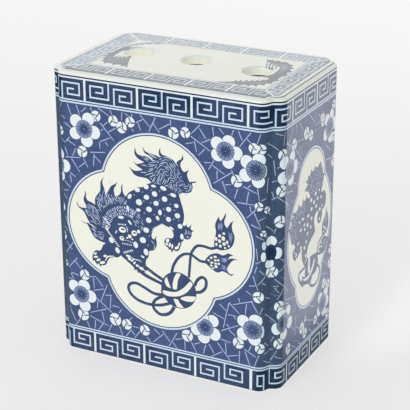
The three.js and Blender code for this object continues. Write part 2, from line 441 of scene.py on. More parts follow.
def lion_dog(transfer):
    """The guardian lion-dog at play: flame tail, spotted coat, curled mane, four clawed paws."""
    tail = outline([(-24.5, 163), (-22, 161.2), (-19.5, 160.5), (-16, 161.2)], [(-13, 162.3),
        (-16.5, 163.9), (-19, 165.6)], [(-21, 168.2), (-18.4, 166.2), (-15, 167.0)], [(-11.5, 168.6),
        (-15, 169.6), (-18.3, 171.6), (-19.8, 175)], [(-19, 179.2), (-18.3, 175.6), (-16, 173.5),
        (-11, 173.4), (-7.5, 172.4)], [(-3.8, 170.2), (-5.4, 172.6), (-8, 174.3), (-11, 175.6),
        (-12.2, 178)], [(-12.6, 180.8), (-11.2, 177.8), (-8.5, 176.5), (-3.5, 175.8)], [(2, 174.4),
        (0.7, 177), (0.9, 179.5)], [(2.3, 182.3), (2, 179), (3.6, 176.8), (8, 175.9), (12.5, 174)],
        [(14.8, 171.7), (16.2, 174), (19, 175.9)], [(20.5, 179.4), (20.8, 176), (19, 173.6), (18.4, 171),
        (19.4, 168.2)], [(21, 166.2), (23, 167.1), (24.7, 168.4)], [(25.3, 170.4), (24.8, 167.5),
        (23.8, 165), (24.5, 162)], [(26, 159), (27, 159.8), (29.2, 160.1)], [(31.3, 160.9), (30.2, 159.3),
        (27.8, 158.6), (28.3, 155.5), (27, 152), (23.5, 150.2), (20, 149.9)], [(17, 148), (10, 145),
        (0, 148)], [(-7.5, 152.2), (-6.8, 153.8), (-8.5, 155.6), (-12, 156.3), (-17, 156.3),
        (-20.5, 157.6), (-22.5, 160)])
    coat = outline([(-30, 137), (-28, 138.6), (-25.2, 142.4), (-21.5, 144.8), (-19.2, 147.3),
        (-15.5, 148.2), (-13.3, 148.8), (-11, 151), (-7, 152.6), (0, 153), (9, 151)], [(16.8, 148.4),
        (18.5, 142.5), (20.2, 137), (21, 132), (20.6, 128)], [(19.6, 124.6), (20.8, 124), (22.5, 125)],
        [(23.4, 126.8), (23.2, 124.4), (24.6, 123.6)], [(27.4, 126.4), (26.3, 123.4), (27, 121.9)],
        [(29.5, 121.4), (27.4, 120.3), (27, 117), (25.2, 114.2), (22.5, 113.4)], [(20.4, 114.2),
        (20.2, 112), (18.6, 110.2), (17.6, 107), (15.5, 104), (13, 104.5), (11.5, 108)],
        [(9.4, 111.4), (11.6, 113), (12, 115.6), (11, 118.3), (8.6, 120.2)], [(5, 121.3), (2.6, 121.8),
        (-1, 119), (-4.4, 117), (-5.6, 114.2), (-6.6, 111.5), (-6, 109)], [(-4.2, 108.4), (-3.6, 110)],
        [(-1.6, 111.4), (-2.9, 109.4), (-2.2, 106.5), (-2.6, 103), (-4.4, 99.8), (-6.8, 98.6)],
        [(-8.6, 98.2), (-9.2, 95), (-9.8, 92.4), (-11.4, 90.6), (-12, 87)], [(-11.2, 83.6), (-11.6, 80.4),
        (-15, 79.6), (-20, 81.4), (-25, 85.4), (-30, 88.6)], [(-33.6, 89.6), (-35.6, 87.6), (-38, 87),
        (-42, 88)], [(-46, 90), (-47.8, 94)], [(-47, 97.2), (-40, 110), (-36, 126)])
    mane = outline([(-46.2, 151.2), (-48, 149.2), (-49.6, 146.3), (-49.8, 142), (-50.4, 138.8),
        (-53, 135.4), (-54.8, 132)], [(-54.9, 127.2), (-57.5, 128.5), (-61.3, 129.6), (-62.7, 132),
        (-62.6, 135)], [(-63.8, 137.6), (-63.6, 134.4), (-64.9, 131), (-64.8, 128.6), (-63.3, 126)],
        [(-62.6, 123.2), (-65, 122.9), (-68.2, 123), (-69.9, 124.6)], [(-71.2, 127.9), (-70.9, 125),
        (-69.3, 122.3), (-66.5, 120.9), (-64.6, 119), (-62.8, 115.4)], [(-60.2, 111.2), (-63, 110.9),
        (-65.4, 110.9)], [(-67.6, 112.3), (-66, 110.5), (-62.8, 110), (-61.2, 107.6), (-59.6, 104.6),
        (-57.6, 101.3), (-55.2, 99.2), (-52, 98), (-49, 97.4)], [(-46.4, 97.2), (-40, 94), (-34, 93),
        (-24, 95)], [(-18, 104), (-16, 118), (-20, 130)], [(-28, 138.4), (-29.6, 140.4), (-30.6, 144)],
        [(-30.4, 148.8), (-31.8, 145.4), (-32, 142), (-33.8, 138.8)], [(-37, 137), (-38, 140.4),
        (-37.9, 143.2), (-36.2, 146)], [(-34.6, 150), (-36.2, 147.6), (-40.2, 145), (-42.2, 142),
        (-43.6, 139.4)], [(-45.6, 136.8), (-46.2, 141), (-47.7, 145.4), (-47.6, 148.4)])
    for part in (tail, coat, mane):
        transfer.lay(part, FIGURE)
    transfer.shape(BARE, [(-62, 111.5), (-58, 110)], [(-53.8, 107.4), (-58, 109)])

    # The flame tail's hair runs in from its tongues and curls round two points
    comb(transfer, outline([(-18, 160.6), (-7, 156), (-8, 152), (0, 152.4), (9, 151), (18, 147), (28, 151),
        (29, 158), (22, 159), (18, 166), (16, 172), (6, 176.4), (-1, 175), (-10, 177.6), (-9, 174.6),
        (-18, 174), (-8, 168.4), (-17, 166.4), (-8, 163.4)]), [(-20, 161.6, 5), (-12, 159.4, 5),
        (-5, 159, 25), (-18, 167, -15), (-10, 165.2, -5), (-4, 163.4, 30), (-17, 173.5, -30),
        (-10, 171, -22), (-4, 168.5, 15), (-10, 177, -35), (-4, 174.2, -15), (0, 171, 45), (-1, 166, 50),
        (4, 173, 30), (9, 171.5, -40), (12.5, 168, -60), (14, 163, -75), (15.4, 159, -60), (3, 162, 90),
        (6, 166, 0), (10.5, 163, -90), (6.5, 159.4, 180), (-6, 156, 70), (-3, 154, 60), (0, 156.6, 60),
        (4, 156, 60), (8, 157, 70), (10.7, 158, 0), (13, 155, -80), (10, 151, -80), (13, 150.5, -70),
        (17.7, 158.5, 0), (20, 156, -90), (17.7, 153.5, 180), (15.6, 156, 90), (23, 152.5, 10),
        (26, 154.5, 60), (27, 157.5, 80)])

    # White spots of the coat
    spots = [(-18, 145.7, 2.2, 1.7), (-10.4, 149.4, 2.1, 1.8, 20), (-4.2, 151, 1.9, 0.9),
        (4, 150.6, 2.5, 1.5, -15), (12.1, 146.7, 2.4, 1.3, -10), (-3.4, 144.9, 2.1, 2),
        (4.9, 142.3, 2.2, 2), (-10.3, 141.1, 2.2, 1.8, 15), (-2.3, 137.7, 2.1, 1.8, 20),
        (14.7, 138.7, 1.7, 1.5), (-16.7, 136, 2.5, 2.3), (-24.6, 139.3, 2.2, 1.3, 55),
        (8.2, 134.8, 2, 1.8), (-8.3, 131.8, 2.3, 2), (0.9, 131, 1.4, 2.1), (15.5, 131, 2.1, 1.9),
        (8, 126.8, 1.9, 1.8), (-8.8, 123, 2.2, 2), (-1.2, 126.1, 1.2, 1.7, 30), (17.6, 123, 1.9, 1.8),
        (-11.1, 114.6, 2.3, 2), (-14.1, 105.9, 2.5, 2.3), (19, 115, 1.3, 2.2),
        (10.4, 120.2, 1.9, 0.7, -30), (-11.6, 96.6, 1.9, 2.6, 10), (-45.8, 93.6, 3.4, 1.9, -8),
        (-36.4, 93.2, 1.6, 2.4, 30), (-20.4, 100.8, 1.8, 2.5, 15), (-17.6, 112.2, 1.3, 1.4),
        (-41.6, 100.6, 1.8, 2.4, 35), (-32.6, 121, 2.4, 1.1, 5), (-14.6, 92.2, 1.5, 0.7, -20),
        (-45, 110.2, 1.2, 1.7, 20)]
    spread = 0.15
    transfer.spots(TINT, [(x, y, across + spread, along + spread, *turn)
                          for x, y, across, along, *turn in spots])
    transfer.brush(BAND, [(3, 122.2), (-1, 119.6), (-4.6, 117.2), (-6.4, 113.6)], 0.9, 0.7, 0.2)
    flecks = [(-20.6, 141, 30), (-13.6, 144.6, 60), (-6, 147.6, 10), (1, 147.8, 80), (8.4, 146.4, 20),
        (0.6, 140.6, 0), (9.6, 139, 60), (-6.6, 137.4, 45), (4, 134.2, 70), (13, 134.8, 0),
        (-12.6, 137.6, 20), (4.8, 129, 30), (12.2, 127.6, 50), (-4, 128.4, 0), (-12.4, 128, 60),
        (-13.8, 119, 80), (-8.6, 110.4, 0), (-9.8, 102.6, 70), (16.6, 127.4, 10)]
    transfer.spots(CRACK, [(x, y, 0.7, 0.35, turn) for x, y, turn in flecks], 8)

    # Mane: long hair in the locks, then rows of tight curls round the face
    comb(transfer, outline([(-53.6, 134), (-53.6, 127), (-50.6, 121.4), (-47.6, 124.4), (-42.6, 128.6),
        (-36, 131), (-28, 131.4), (-26.6, 136), (-29.6, 138.6), (-32, 138), (-38, 138), (-44, 139),
        (-47, 141), (-50, 138)]), [(-52.7, 130, 100), (-51, 125, 120), (-47, 133, 92), (-46, 127, 110),
        (-42.7, 134, 70), (-40, 131, 75), (-37, 135, 60), (-30, 136, 45), (-32, 132, 60)],
        longest=9, margin=0.3)
    comb(transfer, outline([(-62, 128), (-55.4, 126), (-51, 119), (-50.2, 112), (-54, 110.6), (-59, 112.4),
        (-62.6, 118), (-65, 120.6)]), [(-58.7, 124.7, -50), (-60.7, 120, -48), (-56, 121, -55),
        (-55, 114, -35), (-52, 117, -60)], margin=0.4, seed=5)
    comb(transfer, outline([(-60, 109), (-52, 106), (-47, 107), (-48, 99.4), (-54, 99.6), (-58, 103)]),
        [(-58, 107, -25), (-50, 105.6, 8), (-55, 101, -55), (-49, 101, -10)], margin=0.5, seed=7)
    comb(transfer, outline([(-27, 126), (-20, 129), (-13.6, 122), (-13, 114), (-17, 114.4), (-22, 118.6)]),
        [(-25, 125, -35), (-18, 122, -42), (-15, 116, -50)], longest=4, margin=0.2, seed=8)
    tufts(transfer, -29, 110, 13.4, 20, 62, 122)
    transfer.spots(TINT, [(-26.4, 129.4, 1.0, 2.4, 10), (-17.4, 129.6, 1.9, 1.4),
        (-25, 118.2, 0.9, 2.3, 40)], 10)

    # Face: eyes with a dark slit, brow, nose, cheek, two rows of teeth, and beads behind the jaw
    for x, y, across, along in ((-31.6, 111, 3.1, 2.4), (-21.4, 110.1, 2.4, 2.3), (-32.3, 104, 2.0, 1.8),
                                (-45, 110, 1.4, 1.9)):
        transfer.spots(BARE, [(x, y, across, along)], 18)
        transfer.spots(FIGURE, [(x + 0.12 * across, y + 0.15 * along, across * 0.55, along * 0.3)], 12)
    transfer.spots(BARE, [(-25.4, 106.8, 1.6), (-27.6, 105.1, 0.8), (-23.2, 104.8, 0.8)], 12)
    transfer.brush(TINT, [(-36.6, 109.8), (-37, 108.2), (-38, 106.8)], 0.3, 1.1, 0.3)
    transfer.brush(BAND, [(-28.4, 114.4), (-27.2, 112.4), (-27.6, 109.6)], 0.3, 0.8, 0.3)
    rows = [((-44.4, 107.6), (-35.6, 97), 8, 1.5, 0.42, 0), ((-35, 115), (-28.8, 115.6), 6, 0.4, 0.7, 0),
            ((-32, 102.2), (-23.4, 101.8), 7, 0.35, 0.5, 0.9),
            ((-31.6, 99.8), (-24.4, 99.8), 6, 0.4, 0.7, 0), ((-30.6, 92.4), (-23.6, 95.6), 6, 0.5, 1.0, 0),
            ((-47.4, 118), (-43.2, 113), 5, 1.5, 0.4, 0)]
    for (x0, y0), (x1, y1), count, across, along, rise in rows:
        lean = math.degrees(math.atan2(y1 - y0, x1 - x0)) if across < along else -18
        for k in range(count):
            t = k / (count - 1)
            transfer.spots(TINT, [(x0 + (x1 - x0) * t, y0 + (y1 - y0) * t + rise * math.sin(math.pi * t),
                                   across, along, lean)], 8)
    curls(transfer, [(-7.4, 106), (-5, 103.6), (-5.8, 100.6)], 1.6, 1.0)
    comb(transfer, outline([(21, 121.6), (26.6, 121), (25.6, 115), (22, 114.4)]), [(22, 120, -60),
        (24.6, 119, -80), (23, 116, -140)], margin=0.3, longest=4, seed=9)

    # The paw that holds the ribbon
    toes = ((-25.4, 87.4), (-22.4, 84.8), (-19, 83), (-15.4, 82))
    transfer.spots(TINT, [(x, y, 0.8, 1.7, -35) for x, y in toes], 10)
    transfer.brush(BAND, [(-27, 91), (-22, 88.8), (-17.4, 88.4), (-14, 86.4)], 0.3, 0.9, 0.3)

    # Front paw with three toes
    transfer.shape(FIGURE, [(-46.6, 97), (-49.2, 94.8), (-50.6, 91.6), (-52.4, 89.8), (-55.4, 89.6),
        (-57.6, 87.4), (-58.8, 84.4), (-58.9, 82)], [(-58.5, 80), (-57.3, 80.6), (-56.4, 79.2)],
        [(-54.8, 77.3), (-54, 78.8), (-53, 78)], [(-51.8, 75.8), (-51, 77.8), (-48.4, 78.2), (-46.2, 80.4),
        (-45, 83.4), (-43, 85.6), (-39, 87.2)], [(-36, 90), (-42, 94)])
    transfer.spots(BARE, [(-56.3, 86.6, 1.7, 0.8, 25), (-55.8, 83.9, 2, 0.9, 15), (-53.6, 81.8, 2, 1, 30),
        (-50.2, 80.2, 2.6, 1.2, 20), (-47.6, 86.3, 1.6, 1, 25)], 12)
    transfer.brush(BARE, [(-47.4, 82.2), (-45.8, 85.6), (-42.8, 87), (-39.6, 87.6)], 0.5, 1.3, 0.4)

    # Hind paw, seen from in front, with its toes in white
    transfer.shape(FIGURE, [(10, 111.9), (6.6, 111.7), (4.6, 109.6), (4.2, 106.8), (5.4, 104.8),
        (7.2, 104), (7.8, 102.6)], [(8.6, 102.2), (9.2, 103), (10.2, 101)], [(11, 100.4), (11.4, 102.8),
        (14, 102.4), (16.4, 103.4), (17.6, 106.4), (18.6, 109.6)], [(17, 112)])
    transfer.spots(BARE, [(7, 109.6, 1.9, 1.3, 60), (6.2, 106.6, 1.2, 1.1), (8.8, 106.4, 0.9, 2, -15),
        (10.8, 105.6, 0.8, 2, -10), (14.6, 105.2, 2.2, 1.2, 35), (16.6, 108.4, 0.7, 1.7, -20)], 12)


def ribboned_ball(transfer):
    """The ball that the lion-dog plays with: a striped ball in a knotted ribbon."""
    ribbon = 2.5
    for line, widths in (
            ([(-33, 90.4), (-27, 86.6), (-20, 81.8), (-13, 77.6), (-6, 75.2), (2, 73)], (2.2, 3.2, 2.4)),
            ([(-16, 87), (-12, 84), (-4, 79.6), (3, 76.4)], (2.6, 2.6)),
            ([(4, 64.2), (-5, 63.6), (-13, 66.6), (-20.5, 69), (-25.8, 67.4), (-27.6, 63.4),
              (-25.2, 58.8), (-19.6, 55.2), (-12, 53.6)], (ribbon, ribbon)),
            ([(-12, 53.6), (-5, 54), (2, 55.6), (9.6, 59)], (ribbon, ribbon)),
            ([(-6.8, 55), (-5.4, 50.6), (-1, 47.4), (4, 47.8), (8.6, 50.6), (12, 56)], (ribbon, 2.8)),
            ([(-6.6, 54.6), (-4, 58.6), (1, 62.2), (6, 64)], (ribbon, ribbon)),
            ([(29.4, 77), (31.4, 82), (35.4, 85.4), (38.8, 83.6), (38.4, 77.6), (34.6, 73.4),
              (30.4, 72)], (ribbon, ribbon)),
            ([(10, 83), (11.6, 90), (15.6, 97), (20.6, 101.2), (26, 102.2), (30, 100.4),
              (34.2, 98.4), (40, 98.6)], (2.4, 2.2, 2.2)),
            ([(24.6, 83), (25.4, 93), (26.4, 102), (28.8, 107), (32, 110.2), (37, 110.8),
              (43, 110.2), (48, 112)], (2.2, 2.2, 2.2))):
        transfer.brush(FIGURE, line, *widths, steps=5)
    transfer.shape(FIGURE, [(-24.5, 84.2), (-23, 82.6)], [(-21.6, 79), (-20.4, 80.4)], [(-18.4, 77.4),
        (-17, 79.6)], [(-14, 78), (-18, 83)])
    transfer.brush(BARE, [(-29, 90.4), (-25.4, 90.4)], 1.5, 1.5)
    transfer.spots(BARE, [(-26, 88.2, 1.9, 1.2, -30), (-23.4, 87.4, 0.7, 1.6, -40),
        (-21.8, 85.6, 0.8, 1.5, -40), (-19.6, 83.8, 1.3, 1, -30), (-16, 82.2, 2.2, 1.1, -20)], 12)
    transfer.brush(BARE, [(-14, 81.4), (-7, 78.4), (1.4, 75.4)], 0.6, 1.4, 0.5)

    transfer.spots(FIGURE, [(15.8, 70.6, 14.9)], 44)
    transfer.shape(BARE, [(5.8, 79.8), (7.6, 75)], [(9.2, 71), (6.4, 71.6), (4.4, 74), (4, 77)])
    transfer.shape(BARE, [(14, 84.2), (15.8, 84.6)], [(17.8, 84.2), (15.2, 78.6), (14.2, 71.4)],
        [(11, 70.8), (10.8, 75), (12, 80)])
    transfer.shape(BARE, [(25.4, 80), (27.2, 79)], [(27.6, 77.2), (23.4, 71.2), (18.2, 67), (12.6, 64.8),
        (6.6, 64)], [(3, 65), (2.4, 67.8)], [(8, 68), (13.6, 68.9), (18.8, 72.4), (23, 77)])
    transfer.shape(BARE, [(17.4, 64.8), (22, 67), (27, 68)], [(30, 68.4), (29.6, 65.6)],
        [(27, 63.4), (22, 62.9), (18, 63.6)])
    transfer.shape(BARE, [(11.4, 62.6), (13, 63)], [(15, 62.8), (17, 60)], [(20, 57), (17.4, 56.4)],
        [(14.4, 56.6), (12.6, 59.6)])
    for line in ([(9.9, 84.6), (9.6, 76), (10, 69)], [(2, 63.4), (1, 66), (1.4, 68.6), (3, 69.4)]):
        transfer.brush(FIGURE, line, 0.7, 0.7)


def tassel(transfer, runs, scales, streams):
    """A ribbon's end: a scaly cup, from which flame-like petals open."""
    transfer.shape(FIGURE, *runs)
    transfer.spots(BARE, scales, 10)
    for a, b, count in streams:
        hairs(transfer, a, b, count, 0.7)


def tassels(transfer):
    tassel(transfer, [[(45.8, 111.6), (45.5, 116), (46.6, 121), (47, 125), (46.3, 129), (47.4, 133)],
        [(49.6, 137), (49.8, 134.6)], [(50.8, 133.6), (52.8, 136)],
        [(55.2, 141), (55, 137.4), (53.8, 134), (54.2, 131)],
        [(56, 128.8), (57.4, 131), (58.8, 133.4)],
        [(61.6, 135.4), (60, 132.4), (60.2, 128), (62, 123.4), (61.4, 118), (58.6, 113.4), (54, 111)],
        [(50, 110.2)]],
        [(47.2, 118.6, 1.1, 1.6), (50, 121.6, 1.2, 1.4, -20), (53, 120, 1.5, 1.8, 10),
         (50, 117.4, 1.3, 1.5), (47.4, 114.4, 1, 1.3), (50.6, 113.6, 1.2, 1.2),
         (53.6, 115.8, 1.4, 1.4), (56, 117.6, 1, 1.4), (54.4, 112.8, 1, 0.8, 20),
         (53.4, 124, 1.1, 1), (57.4, 114.8, 0.8, 1, 20)],
        [([(49, 125), (48.4, 128.6), (49, 132.4)], [(53, 126.6), (52.4, 130), (52.6, 134)], 4),
         ([(56.4, 127), (57.6, 122), (57, 118)], [(60, 126), (60.4, 122), (59, 117)], 3)])
    tassel(transfer, [[(37.4, 98.2), (39.4, 102), (43, 105.6), (48, 107.4), (52, 106.6), (54.6, 107.4),
         (57, 109)], [(61.4, 108), (58.4, 106.8)], [(56.8, 104), (60, 105.6)],
        [(65.4, 105.2), (61.4, 104.4), (58.6, 101.4), (56.6, 98)],
        [(56, 96.4), (57, 94), (59, 92.8)],
        [(61.8, 93.4), (59.6, 91.6), (56.2, 92.8), (52.4, 93.8), (48.6, 92), (44.6, 93.2),
         (40.6, 96)]],
        [(41, 100.4, 1, 0.8), (43.2, 102.8, 1.2, 0.9, 20), (46.4, 104.2, 1.4, 0.9, 10),
         (43.6, 99, 1.4, 0.9, 15), (46.6, 101.4, 1.3, 0.9, 10), (49, 102, 0.9, 1),
         (43.2, 96.6, 1.2, 0.8, 10), (47, 96.4, 1.6, 1.2, 20), (46.8, 98.8, 1.3, 0.8, 10),
         (49.4, 99.2, 0.9, 1), (44.4, 94.6, 1.1, 0.6, -10)],
        [([(50.4, 104.6), (54, 104.6), (57, 107)], [(51, 101), (54.6, 101.4), (56.6, 103)], 4),
         ([(51, 99.4), (54, 98.6), (56, 98)], [(50, 95.4), (54, 95.4), (56, 94.6)], 3)])


HEART, WIDE_HEART, END_HEART = 7.2, 7.7, 7.8
FRONT_LOBES = [(-1.7, 144.2, 47.8), (31.8, 113, 46.4), (0.3, 84.2, 48.9), (-34.3, 113, 45.9)]
FRONT_BUDS = [(-51.8, 198, 20, 0.95), (-37, 196.5, 200, 0.95), (-30, 192.5, 60, 1),
    (-22.7, 197.7, 330, 0.9), (13, 194.8, 110, 1), (22.5, 196.5, 250, 0.92), (-64.5, 168.3, 0, 1),
    (63.5, 166.5, 90, 1.05), (76.5, 193, 100, 0.9), (82.4, 192.8, 90, 0.85), (81.3, 78.5, 160, 1),
    (-66.5, 66.6, 80, 1), (-69, 32, 100, 1.15), (-40, 34, 140, 1.18), (-29.8, 32, 90, 1),
    (-14, 30.5, 90, 1), (22.8, 34.2, 30, 1.1), (65.6, 38, 90, 1.05), (83, 36.5, 90, 0.9),
    (81, 149.7, 90, 0.75), (87.4, 146.8, 30, 0.6), (91.2, 97.5, 80, 1), (84.6, 128.8, 0, 0.55),
    (-84, 182, 0, 0.8), (-86, 120, 40, 0.9), (-86, 96, 10, 0.9), (-84, 73, 10, 0.6)]
FRONT_CRACKS = [(-81.4, 204.3, -83.2, 200.6), (-76.1, 204.3, -73.1, 195.7), (-68.2, 204.3, -65.7, 197),
    (-60, 203.4, -64.3, 199.5), (-56.2, 204.3, -55, 201.6), (-49.6, 204.5, -40.7, 199.9),
    (-39.3, 204.3, -38.1, 201.3), (-29.4, 204.3, -29.8, 198.1), (-21.1, 204.3, -21.4, 201.6),
    (-27.1, 203.8, -23.6, 202), (-17.9, 198.1, -12.1, 201.3), (-14.3, 204.3, -6.1, 196.3),
    (-1.8, 204.2, -7.1, 192.9), (-3.9, 199.7, 1.6, 193.1), (9.9, 201.1, 1.1, 195.8),
    (-21.4, 192.7, -19.9, 190.7), (-16.1, 197.7, -13.9, 192.4), (-81.8, 194.3, -78.6, 192.4),
    (-78.9, 189.1, -73.8, 185.6), (-48.2, 193.4, -37.1, 181.4), (-41.4, 187.1, -35, 191.3),
    (-47.7, 187.4, -45.7, 189), (-42.1, 194.9, -45.7, 191.3), (10.4, 204.3, 11.1, 200),
    (23.4, 204.3, 22.9, 200.6), (34.5, 204, 27.1, 196.3), (33.9, 201.6, 38.9, 194.5),
    (44.4, 204.1, 45.2, 197.7), (49.6, 204.1, 53.2, 199.9), (60.9, 204.3, 59.3, 200.1),
    (64.6, 204.1, 67.7, 197.4), (74.3, 204.3, 65.7, 192.9), (71.4, 199.1, 74.6, 196.5),
    (81.8, 204.3, 79.2, 196.8), (27.1, 194.5, 42.5, 185.6), (22.9, 188.3, 28.9, 190),
    (29.9, 191.5, 31.4, 183.3), (42.7, 194.6, 35.5, 190.9), (38.2, 186.5, 32.9, 180.9),
    (37.9, 176.3, 43, 177), (45.4, 179.1, 41.1, 171.3), (44.3, 175.2, 53.9, 169.9),
    (47.9, 171.6, 47.9, 165.2), (59.3, 172, 45, 161.6), (59.3, 174, 61.1, 170.6),
    (52.1, 164.5, 55.4, 155.9), (54.3, 162.1, 58.9, 163.1), (74.6, 165.2, 72.1, 162.9),
    (68.6, 163.3, 79.6, 159.4), (64.3, 160.6, 61.8, 152.4), (72.9, 159.9, 71.4, 151.3),
    (79.8, 164, 81.4, 153.5), (63.9, 150.2, 77.9, 150.5), (82.8, 154.3, 86.3, 156),
    (87.2, 197, 91.3, 194.3), (87.3, 189, 91.3, 185.3), (88, 171, 87, 160), (74, 149, 75, 144.5),
    (78.5, 147, 71.5, 139.5), (77.3, 145, 82.3, 134), (81, 139, 86, 141.5), (75, 135, 83, 132.5),
    (88, 145, 91.3, 142), (86.5, 134.5, 91.3, 131), (-83.4, 176.4, -79.3, 173.2),
    (-75.4, 177.9, -78.9, 173.9), (-79.6, 169.6, -77.5, 163.6), (-77.9, 176, -70.4, 172.1),
    (-70, 169.9, -73.6, 163.2), (-79.3, 161.8, -66.4, 163.2), (-74.3, 161.4, -67.5, 151.4),
    (-62.9, 159.6, -68.2, 155.2), (-63.6, 162.9, -60.1, 156.4), (-54.3, 167.9, -55.1, 158.2),
    (-53.9, 166.4, -48.6, 161.8), (-57.5, 168.9, -44.6, 170.7), (-49.3, 178.2, -48.9, 172.9),
    (-48.6, 178.7, -39.9, 183), (-44.1, 178.9, -42, 176.1), (-75.7, 149.6, -71.1, 146.8),
    (-76.1, 147.9, -75, 142.1), (-81.4, 142.3, -76.4, 137.5), (-82.9, 134.3, -78.2, 135),
    (-82.9, 131.4, -79.6, 127.9), (-82, 113, -79.6, 106), (-84, 104, -80, 101), (-82, 92, -77, 86),
    (-76, 92, -83, 82), (-72.5, 80, -80.7, 70.4), (-74.8, 76.8, -70, 71.1), (-68, 74.3, -69.6, 72.1),
    (-78.7, 66.4, -72.1, 65), (-78.9, 65.4, -76.8, 60.7), (-81.4, 60.9, -78.4, 61.1),
    (-61.8, 65.7, -56.1, 67.3), (-58.6, 65.4, -58.2, 56.8), (-56.1, 66.4, -50.1, 59.6),
    (-58.9, 54.9, -49.6, 58), (-46.6, 61.8, -52.5, 47.3), (-48.6, 53, -42.5, 53.9),
    (-43.6, 52.9, -44.4, 42.1), (-42.5, 45.4, -36.1, 45.1), (-56.1, 48.7, -42.5, 38.9),
    (-55.6, 46.4, -56.1, 40), (-47.9, 41.1, -62.5, 35.1), (-51.8, 37.9, -50.1, 29.6),
    (-62.9, 32.1, -46.1, 26.8), (-58.2, 29.3, -58.9, 21.8), (-51.1, 27.9, -55.7, 21.4),
    (-43.4, 28.7, -46.8, 21.6), (-36.4, 28.9, -33.9, 21.3), (-34.3, 43.9, -36.6, 40),
    (-25, 38.9, -27.5, 36.4), (-24.6, 31.4, -19.6, 31.1), (-26.1, 27.9, -30.7, 21.8),
    (-25.7, 27.5, -22.9, 24.3), (-18.6, 28.2, -23.2, 21.8), (-12.1, 25, -8.9, 21.6),
    (-5.7, 33.6, -0.9, 29.6), (1.8, 30.4, -7.1, 21.8), (1.4, 33.2, 7.9, 25.4), (-80.7, 34.3, -76.1, 24.6),
    (-80.4, 37.1, -81.6, 35), (-72.5, 26.8, -76.6, 21.1), (-65.7, 26.8, -63.7, 21.4),
    (13.9, 34.3, 7.1, 21.8), (10.4, 25.7, 13.7, 21.6), (12.5, 28.7, 18.6, 30.7), (20.6, 29.3, 20.9, 21.8),
    (26.3, 29.6, 30.7, 21.3), (28.6, 28.4, 33.2, 30.7), (38.4, 30, 36.3, 21.8), (41.1, 31.3, 45.4, 24.6),
    (51.8, 27.3, 42.9, 21.1), (48.2, 34.3, 59.3, 21.1), (54.9, 35.7, 55.7, 26.4), (51.4, 37.9, 59.3, 36.6),
    (57.1, 25, 65.4, 27.5), (66.6, 31.4, 66.4, 21.4), (70.7, 33.9, 80, 29.4), (71.1, 32.1, 75.1, 21.4),
    (76.1, 37.9, 74.1, 33.2), (82.3, 31.1, 78.7, 21.3), (57.9, 47.1, 63.2, 43), (51.4, 45, 65.7, 52.5),
    (45, 58.2, 53.9, 55.4), (50, 66.8, 55.4, 62.1), (57.9, 69.3, 55.6, 60), (55.6, 60, 53.2, 47.9),
    (58, 69.4, 66.4, 62.1), (57.1, 59.6, 63.9, 59.6), (61.8, 58.6, 63.6, 56.8), (55.7, 51.4, 57.9, 49.3),
    (65.4, 75, 66.6, 71.4), (77.1, 74.6, 61.1, 68.6), (72, 71.4, 71.1, 62.5), (76.1, 73.9, 81.4, 65.4),
    (84.6, 70, 82.5, 64.6), (77, 95, 81, 84), (74, 86.5, 79, 87.5), (71.5, 81.8, 76, 79.5),
    (86.5, 95, 81, 88.5), (84, 90, 87, 88), (82, 100, 86, 96), (87, 78, 91.3, 75.8),
    (86.7, 64.5, 91.3, 60.5), (86.5, 41, 90, 37.5), (86, 31.5, 90.5, 33), (86, 26, 91.3, 23),
    (79, 127, 85, 124), (86, 128, 90, 121), (79.5, 117, 80.5, 108), (79, 105, 83.5, 108),
    (80, 103, 78, 97), (85, 112, 91, 109)]
FRONT_BLOSSOMS = [
    (-62.3, 186.3, [(-69, 191.8, 5.2, 5.2), (-58.5, 194.6, 5.1, 5.1), (-53.6, 185, 5.2, 5.2),
                    (-60.2, 177.6, 5.1, 5.1), (-70, 182, 5, 4.8)]),
    (54.5, 187.5, [(57, 194.8, 5.1, 5.1), (63, 187.2, 5, 5.2), (56.8, 179.7, 4.9, 4.9),
                   (48.4, 184, 5.2, 5), (48, 192.5, 5.1, 5)]),
    (78.3, 176.9, [(71.5, 182.2, 5.1, 5.2), (70.5, 172.2, 5, 5), (80.6, 184.8, 5, 5),
                   (80.2, 169, 5, 5), (84.9, 176.6, 1.8, 4.6)]),
    (-70.2, 49.2, [(-76.8, 55.3, 4.9, 4.9), (-67.5, 57, 5.3, 5.1), (-61.7, 49, 5.1, 5.2),
                   (-67.3, 40, 5.1, 5), (-76.7, 43, 4.8, 4.8)]),
    (77, 51.3, [(79.4, 59.2, 5.3, 5.1), (69.6, 57, 5.1, 5), (69.4, 46.4, 5.1, 5.2),
                (78.6, 43.8, 5, 5), (84.4, 50.4, 1.8, 5)]),
    (38, 44.7, [(44.2, 51.3, 5.1, 5), (45.7, 40.6, 5.2, 5.3), (36.8, 36, 5.1, 5),
                (30.5, 41, 4.6, 4.6), (36, 52, 5, 5)]),
    (-88.4, 154.2, [(-80.6, 154.3, 4.9, 5.2), (-86, 163, 5, 4.6), (-86, 145.6, 5, 4.6)]),
    ]


def groove_blossom(transfer, x, petals):
    """The blossom that the seam of two sheets cuts through, with its heart lost in the groove."""
    lay_petals(transfer, petals, KEY)
    y, across, along = 112.9, 4.8, 6.5
    transfer.spots(KEY, [(x, y, across, along)], 22)
    for i in range(12):
        a = 2 * math.pi * (i + 0.5) / 12
        c, s = across * math.cos(a), along * math.sin(a)
        transfer.brush(FIELD, [(x + r * c, y + r * s) for r in (0.55, 0.92)], 0.2, 0.5, steps=1)


